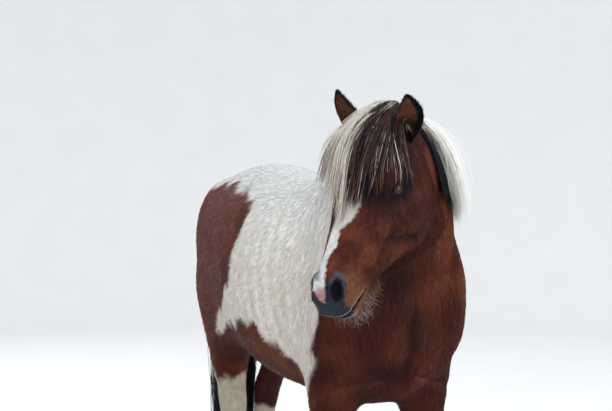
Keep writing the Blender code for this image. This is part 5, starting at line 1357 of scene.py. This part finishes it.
# Hair of the ears
# Soft wool fills the cup and fringes its edge, and short hair lies up the back of it. Each tuft grows from one
# place of the cup's own grid, towards its tip.
EAR_TUFTS, EAR_TUFT_SIZE, EAR_TUFT_HALF, EAR_TUFT_THICK = 1500, (0.008, 0.020), (0.00035, 0.00075), 0.0005
EAR_TUFT_LIFT, EAR_TUFT_TONE, EAR_TUFT_TINTS = (0.0008, 0.0045), (0.35, 1.9), (0.85, 1.0, 1.25)
EAR_TUFT_RUN = ((0, 0.5, 1), (0.8, 1.0, 0.1))
paths, facings, colours, spots, halves = [], [], [], [], []
for number, (side, (rings, shades)) in enumerate(zip((1, -1), ear_grids)):
    rows, columns_of = rings.shape[:2]
    share, turn = rng.beta(1.1, 1.2, EAR_TUFTS) * (rows - 3), rng.random(EAR_TUFTS) * columns_of
    i, j = share.astype(int), turn.astype(int)
    nearby = (j + 1) % columns_of
    roots, up_from = rings[i, j], rings[i + 1, j] - rings[i, j]
    roots = roots + (rings[i, nearby] - roots) * (turn - j)[:, None] + up_from * (share - i)[:, None]
    facing = unit(np.cross(rings[i, nearby] - rings[i, j], up_from))
    way = unit(unit(up_from) + 0.22 * facing + 0.16 * rng.normal(size=(EAR_TUFTS, 3)))
    size = per_hair(EAR_TUFT_SIZE, rng, EAR_TUFTS) * np.interp(share / rows, (0, 0.7, 1), (1.2, 0.9, 0.5))
    lift = per_hair(EAR_TUFT_LIFT, rng, EAR_TUFTS)[:, None]
    middle = roots + way * (size * 0.5)[:, None] + facing * lift
    ends = roots + way * size[:, None] + facing * lift * 0.9
    paths.append(np.stack([roots - facing * 0.0006, middle, ends], 1))
    facings.append(facing)
    tone = shades[i, j] * rng.uniform(*EAR_TUFT_TONE, (EAR_TUFTS, 1))
    colours.append(tone[:, None] * np.array(EAR_TUFT_TINTS)[None, :, None])
    spots.append(spread_out((number + 0.05 + 0.9 * share / rows) / 2, turn / columns_of))
    halves.append(per_hair(EAR_TUFT_HALF, rng, EAR_TUFTS))
paths, facings = np.concatenate(paths), np.concatenate(facings)
ear_hair = strand_mesh("coat_ears", paths, facings[:, None] + 0 * paths, np.concatenate(halves), EAR_TUFT_THICK,
                       EAR_TUFT_RUN, np.concatenate(colours), np.concatenate(spots), facings)
ear_hair.data.materials.append(hair_finish)
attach(ear_hair, "root")
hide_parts("ear_left", "ear_right")


# Beard, whiskers and fetlock hair
# Thin tufts of wiry hair hang from chin and jaw, pale on the chin and brown on the jaw, and longer hair from
# the back of each fetlock covers the heel of the hoof. All of it hangs by its weight and gathers in locks.
BEARD_COUNT, BEARD_TUFTS, BEARD_STEPS = 560, 110, 6
BEARD_SPAN, BEARD_ASIDE, BEARD_UNDER = (0.480, 0.365), (-0.026, 0.036), -0.40
BEARD_LENGTH, BEARD_HALF, BEARD_THICK, BEARD_WAVE = (0.022, 0.066), (0.0003, 0.0007), 0.0003, 0.006
BEARD_DROOP, BEARD_PALE_SHARE = (0.05, 0.30), 0.55
BEARD_PALE, BEARD_BROWN = (0.30, 0.27, 0.28), (0.080, 0.030, 0.018)
FETLOCK_COUNT, FETLOCK_STEPS, FETLOCK_LOCKS = 330, 6, 9.99
FETLOCK_HEIGHTS, FETLOCK_TURN = (0.130, 0.215), math.radians(75)
FETLOCK_LENGTH, FETLOCK_HALF, FETLOCK_THICK, FETLOCK_WAVE = (0.050, 0.100), (0.0008, 0.0016), 0.0006, 0.002
FETLOCK_ROOM, FETLOCK_CLEARANCE = (0.003, 0.007), 0.030

tuft = rng.integers(0, BEARD_TUFTS, BEARD_COUNT)
drawn = rng.random((BEARD_TUFTS, 4))[tuft]
back = (tuft / (BEARD_TUFTS - 1)) ** 1.2
along = BEARD_SPAN[0] + (BEARD_SPAN[1] - BEARD_SPAN[0]) * back + rng.normal(size=BEARD_COUNT) * 0.005
left = np.clip(0.080 * (drawn[:, 0] - 0.38) + rng.normal(size=BEARD_COUNT) * 0.004, *BEARD_ASIDE)
starts = on_head(along, left, BEARD_UNDER + 0 * along)
roots, outs, hit = cast_down(head_tree, starts, FACE + 0 * starts)
aside, ahead = (drawn[:, 1:2] - 0.2) * 1.5, (drawn[:, 2:3] - 0.5) * 1.2
ways = 0.6 * outs + DOWN * 0.6 + aside * HEAD_LEFT + ahead * NOSE
ways = ways + rng.normal(size=(BEARD_COUNT, 3)) * 0.22
lengths = per_hair(BEARD_LENGTH, rng, BEARD_COUNT) * (0.6 + 0.5 * drawn[:, 3])
droops, rooms = per_hair(BEARD_DROOP, rng, BEARD_COUNT), 0.002 + 0 * along
paths = drape(head_tree, roots, outs, ways, lengths, droops, rooms, BEARD_STEPS)
paths = waved(gathered(paths, tuft, 0.30, 0.1), BEARD_WAVE, rng)
tone = step(0.395, 0.43, along) * (rng.random(BEARD_COUNT) < BEARD_PALE_SHARE)
tone = np.clip(tone + 0.2 * rng.normal(size=BEARD_COUNT), 0, 1)
tips = np.linspace(0, 1, BEARD_STEPS + 1)[None] * (rng.random((BEARD_COUNT, 1)) < 0.5)
colours = mixed(BEARD_BROWN, BEARD_PALE, tone)[:, None] + 0 * tips[..., None]
colours = mixed(colours, FORELOCK_TAN, tips * (1 - tone[:, None]))
beard = strand_mesh("beard", paths, HEAD_LEFT + 0 * paths, per_hair(BEARD_HALF, rng, BEARD_COUNT), BEARD_THICK,
                    HAIR_RUN, colours, spread_out((along - 0.28) / 0.24, 0.5 + left / 0.1))
beard.data.materials.append(hair_finish)
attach(beard, "root")
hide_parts("head")

paths, colours, spots = [], [], []
for (leg, rows, stance, shifts, bones), side in itertools.product(LEG_KINDS, (1, -1)):
    up = per_hair(FETLOCK_HEIGHTS, rng, FETLOCK_COUNT)
    turn = FETLOCK_TURN * rng.uniform(-1, 1, FETLOCK_COUNT)
    left, forward = leg_place(rows, stance, side, shifts[side], up)
    away = np.stack([np.sin(turn), np.cos(turn), 0 * turn], 1)
    roots, outs, hit = cast_down(body_tree, at(left, forward, up) + away * 0.12, -away)
    ways = 0.30 * away + DOWN + rng.normal(size=(FETLOCK_COUNT, 3)) * 0.06
    lengths = per_hair(FETLOCK_LENGTH, rng, FETLOCK_COUNT) * np.cos(turn * 0.8)
    lengths = np.minimum(lengths, up - FETLOCK_CLEARANCE)
    group = ((turn / FETLOCK_TURN + 1) * FETLOCK_LOCKS).astype(int)
    rooms = per_hair(FETLOCK_ROOM, rng, FETLOCK_COUNT)
    own = drape(body_tree, roots, outs, ways, lengths, 0.25 + 0 * up, rooms, FETLOCK_STEPS)
    paths.append(waved(gathered(own, group, 0.5), FETLOCK_WAVE, rng))
    colours.append(coat_colours(roots) * rng.uniform(0.75, 1.15, (FETLOCK_COUNT, 1)))
    spots.append(spread_out((len(spots) + 0.5 + 0.4 * turn / FETLOCK_TURN) / 4, (up - 0.13) / 0.085))
paths = np.concatenate(paths)
colours = np.concatenate(colours)[:, None] * np.ones((1, FETLOCK_STEPS + 1, 1))
backwards = at(0, -1, 0) + ORIGIN
feather = strand_mesh("fetlock_hair", paths, backwards + 0 * paths, per_hair(FETLOCK_HALF, rng, len(paths)),
                      FETLOCK_THICK, HAIR_RUN, colours, np.concatenate(spots))
feather.data.materials.append(hair_finish)
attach(feather, "root")
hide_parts(*[name for name in LEGS if name.endswith("lower")])


# The tail
# A short fleshy dock, hidden by long straight hair that grows all round it and hangs close together: black,
# with short pale hair at the top from the white of the croup. A core of dense hair fills the middle.
TAIL = (            # forward, up, half width, half depth
    (-0.700, 1.165, 0.022, 0.018),
    (-0.782, 1.168, 0.037, 0.032),
    (-0.828, 1.130, 0.046, 0.038),
    (-0.846, 1.050, 0.052, 0.042),
    (-0.852, 0.930, 0.058, 0.044),
    (-0.852, 0.780, 0.056, 0.040),
    (-0.850, 0.640, 0.036, 0.024),
)
TAIL_COUNT, TAIL_STEPS, TAIL_LOCK, TAIL_PLACES, CORE_SHARE = 3000, 11, 22, 200, 0.72
TAIL_ROOTS, TAIL_TIPS, TAIL_TURN = (0.03, 0.90), (0.13, 0.42), math.radians(110)
TAIL_TOP, TAIL_TOP_LENGTH, TAIL_PALE_UP = 0.12, 0.13, (1.130, 1.165)
TAIL_HALF, TAIL_THICK, TAIL_WAVE = (0.0011, 0.0022), 0.0008, 0.006
TAIL_ROOM, TAIL_DROOP, TAIL_PULL = (0.004, 0.022), (0.25, 0.40), (0.3, 0.7)


def tail_core():
    """The dense middle of the tail: an ellipse across each row of its line, at a share of the hair's depth."""
    rows = smooth_rows(TAIL, 40)
    forward, up, half, deep = rows.T[:, :, None]
    run, rise = unit(np.gradient(rows[:, :2], axis=0)).T[:, :, None]
    side, high = egg(half * CORE_SHARE, deep * CORE_SHARE, deep * CORE_SHARE, 2.0, 2.0, 32)
    return loft(at(side, forward + rise * high, up - run * high))


core = mesh_object("tail_core", [tail_core()])
height = sizes_of(read(core.data, "co", 3))[2]
# The pale top takes the lower legs' cream, which is darkened in part by painted shade.
colour_points(core, mixed(MANE_BLACK, LEG_CREAM_AND_SHADE, step(*TAIL_PALE_UP, height)))
core.data.shade_smooth()
core.data.materials.append(hair_finish)
tail_tree = tree_of([core, skin])
core_tree = tree_of([core])
rows = smooth_rows(TAIL, TAIL_PLACES)
share = per_hair(TAIL_ROOTS, rng, TAIL_COUNT) ** 1.25
forward, up, half, deep = rows[(share * (TAIL_PLACES - 1)).astype(int)].T
turn = TAIL_TURN * rng.uniform(-1, 1, TAIL_COUNT)
away = np.stack([np.sin(turn), np.cos(turn), 0 * turn], 1)
roots, outs, hit = cast_down(core_tree, at(0 * up, forward, up) + away * 0.2, -away)
roots, outs, away, share, turn, up = (x[hit] for x in (roots, outs, away, share, turn, up))
count = len(roots)
ways = 0.16 * away + DOWN + rng.normal(size=(count, 3)) * 0.03
tone = rng.random(count)
short = (share < TAIL_TOP) & (tone > 0.40)
lengths = (up - per_hair(TAIL_TIPS, rng, count)) * np.where(short, TAIL_TOP_LENGTH, 1.0)
group = np.argsort(np.argsort(turn + 0.25 * rng.random(count))) // TAIL_LOCK
rooms = per_hair(TAIL_ROOM, rng, count)
paths = drape(tail_tree, roots, outs, ways, lengths, per_hair(TAIL_DROOP, rng, count), rooms, TAIL_STEPS)
paths = waved(gathered(paths, group, per_hair(TAIL_PULL, rng, count)), TAIL_WAVE, rng)
pale = 0.5 * step(0.97, 0.998, tone) + 0.50 * short * per_hair((0.5, 1.0), rng, count)
dark = np.array(MANE_BLACK) * (0.6 + 1.2 * rng.random((count, 1)))
colours = mixed(dark, MANE_CREAM, np.clip(pale, 0, 1))[:, None] * np.ones((1, TAIL_STEPS + 1, 1))
tail = strand_mesh("tail_hair", paths, away[:, None] + 0 * paths, per_hair(TAIL_HALF, rng, count), TAIL_THICK,
                   HAIR_RUN, colours, spread_out(share, 0.5 + turn / (2 * TAIL_TURN)))
tail.data.materials.append(hair_finish)
for piece in (core, tail):
    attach(piece, "root")
    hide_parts("tail")


# The short coat
# Winter hair that lies close over hide and muscle: longest on barrel and chest, short on face and legs. It is
# made as thin tapered tufts rooted over the whole hide, which follow the lie of the coat.
TUFTS = {"trunk_left": 16000, "trunk_right": 18000, "front": 18000, "legs": 15000, "face": 18000}
# Length of a tuft and how far it stands off: on the face, on the lower legs and on the body
FACE_TUFT, LEG_TUFT, BODY_TUFT = (0.009, 0.0013), (0.015, 0.0015), (0.026, 0.0017)
LEG_TOP, FRONT_START, HOOF_LINE, EYE_BARE = 0.64, 0.36, 0.07, 0.021
TUFT_SPREAD, TUFT_LIFTS, TUFT_HALF, TUFT_LEAST = (0.7, 1.3), (0.6, 1.5), (0.018, 0.038), 0.0002
TUFT_SKEW, TUFT_BEND, TUFT_THICK, TUFT_ROOT = 0.16, 0.10, 0.0006, 0.0008
TUFT_TINTS = (0.94, 1.0, 1.04)          # darker at the root and lighter at the tip
TUFT_RUN = ((0, 0.5, 1), (0.6, 1.0, 0.1))


def lie_of_coat(places, facing):
    """Which way the coat lies: back and down over the trunk, down the neck and legs, down the face and back
    over the cheeks, laid flat on the hide."""
    left, forward, up = sizes_of(places)
    along, head_left, out = head_sizes(places)
    back = at(0, -1, 0) + ORIGIN
    way = back + DOWN * (0.45 + 0.35 * step(0.2, 0.9, np.abs(facing[:, 0])))[:, None]
    front = step(0.30, 0.55, forward)[:, None]
    way = way * (1 - front) + (0.25 * back + DOWN) * front
    leg = step(0.66, 0.52, up)[:, None]
    way = way * (1 - leg) + DOWN * leg
    face = NOSE - FACE * (0.9 * step(0.02, 0.07, np.abs(head_left)) * step(0.42, 0.2, along))[:, None]
    head = headness(places)[:, None]
    way = way * (1 - head) + face * head
    return unit(way - facing * (way * facing).sum(1, keepdims=True))


def hide_samples(weights, count, draw):
    """Random places on the hide's triangles, as dense as weights say, and the hide's normals there."""
    triangles = read(skin.data, "vertices", 3, np.int32, "polygons")
    points, normals = read(skin.data, "co", 3), read(skin.data, "normal", 3)
    corners = points[triangles]
    area = np.linalg.norm(np.cross(corners[:, 1] - corners[:, 0], corners[:, 2] - corners[:, 0]), axis=1)
    chance = np.cumsum(area * weights(corners.mean(1)))
    chosen = np.searchsorted(chance, draw.random(count) * chance[-1])
    a, b = draw.random((2, count, 1))
    a, b = np.where(a + b > 1, 1 - a, a), np.where(a + b > 1, 1 - b, b)
    first, second, third = triangles[chosen].T
    place, facing = (values[first] * (1 - a - b) + values[second] * a + values[third] * b
                     for values in (points, normals))
    return place, unit(facing)


def region(name):
    """A function that gives the density of tufts over one region of the hide."""

    def density(places):
        left, forward, up = sizes_of(places)
        head, leg = headness(places), up < LEG_TOP
        along, head_left, out = head_sizes(places)
        front = (forward > FRONT_START) & ~leg & (head < 0.5)
        if name == "face":
            bare = np.hypot(along - EYE[0], out - EYE[2]) < EYE_BARE
            return (head >= 0.5) * ~bare * (1 + 0.5 * step(0.3, 0.45, along)) * step(0.510, 0.49, along)
        if name == "legs":
            return leg & (head < 0.5) & (up > HOOF_LINE)
        if name == "front":
            return front * 1.0
        side = left >= 0 if name == "trunk_left" else left < 0
        return (side & ~front & ~leg & (head < 0.5)) * 1.0

    return density


def coat_spots(name, places):
    """Places of the roots on the unwrapped hide: the head and the trunk are unrolled round their length, and
    each leg round its height, in a quarter of its own."""
    left, forward, up = sizes_of(places)
    if name == "face":
        along, head_left, out = head_sizes(places)
        return spread_out((along + 0.1) / 0.62, 0.5 + np.arctan2(head_left, out + 0.11) / (2 * math.pi))
    if name == "legs":
        quarter = np.where(forward > 0, 0, 2) + np.where(left > 0, 0, 1)
        middle_left, middle_forward = np.where(left > 0, 0.12, -0.12), np.where(forward > 0, 0.43, -0.57)
        round_leg = np.arctan2(left - middle_left, forward - middle_forward) / (2 * math.pi) + 0.5
        return spread_out((quarter + round_leg * 0.96 + 0.02) / 4, up / 0.7)
    turned = np.arctan2(np.abs(left) if name != "front" else left, up - 1.0) / (2 * math.pi)
    return spread_out((forward + 0.85) / 1.7, 0.5 + turned)


coat_finish, shader = flecked_finish("coat_finish", 0.68, 0.10, 300.0, 0.18)
for name, count in TUFTS.items():
    roots, facing = hide_samples(region(name), count, rng)
    way = lie_of_coat(roots, facing)
    leg_share = step(0.70, 0.50, sizes_of(roots)[2])
    size, lift = (body + (leg - body) * leg_share for body, leg in zip(BODY_TUFT, LEG_TUFT))
    if name == "face":
        size, lift = FACE_TUFT
    size = size * rng.uniform(*TUFT_SPREAD, count)
    side = np.cross(facing, way)
    skew = rng.normal(size=count) * TUFT_SKEW
    tip = unit(way + side * skew[:, None]) * size[:, None]
    lift = lift * rng.uniform(*TUFT_LIFTS, count)
    middle = roots + tip * 0.45 + facing * lift[:, None]
    bend = rng.normal(size=count) * TUFT_BEND * size
    ends = roots + tip + side * bend[:, None] + facing * (lift * rng.uniform(0.5, 1.2, count))[:, None]
    paths = np.stack([roots - facing * TUFT_ROOT, middle, ends], 1)
    # A tuft takes the colours under it, root, middle and tip; brown ones vary more in tone than white ones
    own = coat_colours(roots)
    vary = (0.26 - 0.19 * step(0.2, 0.5, own[:, 1:2])) * rng.uniform(-1, 1, (count, 1))
    colours = np.stack([own, (own + coat_colours(middle)) / 2, 0.35 * own + 0.65 * coat_colours(ends)], 1)
    colours = colours * (1 + vary)[:, None] * np.array(TUFT_TINTS)[None, :, None]
    half = size * rng.uniform(*TUFT_HALF, count) + TUFT_LEAST
    shine = unit(facing + 0.06 * rng.normal(size=(count, 1)) * side - 0.08 * way)
    tufts = strand_mesh(f"coat_{name}", paths, facing[:, None] + 0 * paths, half, TUFT_THICK, TUFT_RUN, colours,
                        coat_spots(name, roots), shine)
    tufts.data.materials.append(coat_finish)
    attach(tufts, "root")
    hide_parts(*{"face": ["head"], "legs": LEGS, "front": ["neck", "torso"]}.get(name, ["torso"]))


# The studio
# A pale floor that curves up into a backdrop far behind the horse, one broad soft light overhead like an
# overcast sky, weaker ones from the front and sides, and the camera at the photograph's viewing angle.
FLOOR_FLAT, FLOOR_REACH, FLOOR_RISE, FLOOR_THICK = 6.5, 10.0, 6.0, 0.05
FLOOR_COLOUR, FLOOR_SPECK = (0.66, 0.65, 0.64), 0.05
ROOM_COLOUR, ROOM_STRENGTH = (0.80, 0.86, 0.95, 1), 0.45
# The camera: left, forward and up of its place, turn and dip in degrees, focal length in pixels of the picture
CAMERA_PLACE, CAMERA_TURN, CAMERA_DIP = (-1.497, 3.613, 1.338), 21.83, -1.81
CAMERA_FOCAL, PICTURE_WIDTH, SENSOR_WIDTH = 1242.2, 612, 36.0


def bowl():
    """A disc that turns up at its rim: level to its flat radius, then a quarter ellipse, closed underneath."""
    around = np.linspace(0, 2 * math.pi, 96, endpoint=False)
    bend = np.linspace(0.05, math.pi / 2, 24)
    radius = np.r_[np.linspace(0.05, FLOOR_FLAT, 20), FLOOR_FLAT + (FLOOR_REACH - FLOOR_FLAT) * np.sin(bend)]
    height = np.r_[np.zeros(20), FLOOR_RISE * (1 - np.cos(bend))]
    radius = np.r_[radius, radius[::-1] + FLOOR_THICK][:, None]
    height = np.r_[height, height[::-1] - FLOOR_THICK][:, None]
    return loft(np.stack([radius * np.cos(around), radius * np.sin(around), height + 0 * around], -1))


floor = mesh_object("floor", [bowl()])
floor.data.shade_smooth()
floor_finish, nodes, shader = finish_of("floor_finish", 0.85, 0.2)
place = nodes.node("ShaderNodeTexCoord", None, None, 3)
speck = nodes.node("ShaderNodeTexNoise", None, {"Vector": place, "Scale": 3.0, "Detail": 5.0})
shades = {key: speck * FLOOR_SPECK + value for key, value in zip(("Red", "Green", "Blue"), FLOOR_COLOUR)}
tint = nodes.node("ShaderNodeCombineColor", None, shades)
nodes.tree.links.new(tint.socket, shader.inputs["Base Color"])
floor.data.materials.append(floor_finish)


def lamp(name, place, aim, size, watts, colour):
    """A square soft light at place that faces aim, both in the frame."""
    data = bpy.data.lights.new(name, "AREA")
    data.size, data.energy, data.color = size, watts, colour
    light = bpy.data.objects.new(name, data)
    light.location = place
    light.rotation_euler = (Vector(aim) - Vector(place)).to_track_quat("-Z", "Y").to_euler()
    bpy.context.scene.collection.objects.link(light)


lamp("sky", (0.0, 0.0, 8.0), (0.0, 0.0, 0.0), 13.0, 1150, (0.93, 0.97, 1.0))
lamp("front", (-3.4, -4.6, 3.0), (0.0, -0.2, 1.0), 3.0, 65, (1.0, 0.98, 0.95))
lamp("side", (3.6, -4.0, 2.6), (0.0, -0.4, 1.2), 3.5, 130, (0.94, 0.97, 1.0))
lamp("back", (-1.0, 5.0, 3.2), (0.0, 0.2, 1.1), 3.0, 40, (0.95, 0.98, 1.0))
world = bpy.data.worlds.new("room")
bpy.context.scene.world = world
world.use_nodes = True
world.node_tree.nodes["Background"].inputs["Color"].default_value = ROOM_COLOUR
world.node_tree.nodes["Background"].inputs["Strength"].default_value = ROOM_STRENGTH

camera_data = bpy.data.cameras.new("camera")
camera_data.sensor_width = SENSOR_WIDTH
camera_data.lens = CAMERA_FOCAL * SENSOR_WIDTH / PICTURE_WIDTH
camera = bpy.data.objects.new("camera", camera_data)
camera.location = at(*CAMERA_PLACE)
turn, dip = math.radians(CAMERA_TURN), math.radians(CAMERA_DIP)
aim = Vector((math.sin(turn) * math.cos(dip), math.cos(turn) * math.cos(dip), math.sin(dip)))
camera.rotation_euler = aim.to_track_quat("-Z", "Y").to_euler()
bpy.context.scene.collection.objects.link(camera)
bpy.context.scene.camera = camera
bpy.context.scene.view_settings.view_transform = "Standard"
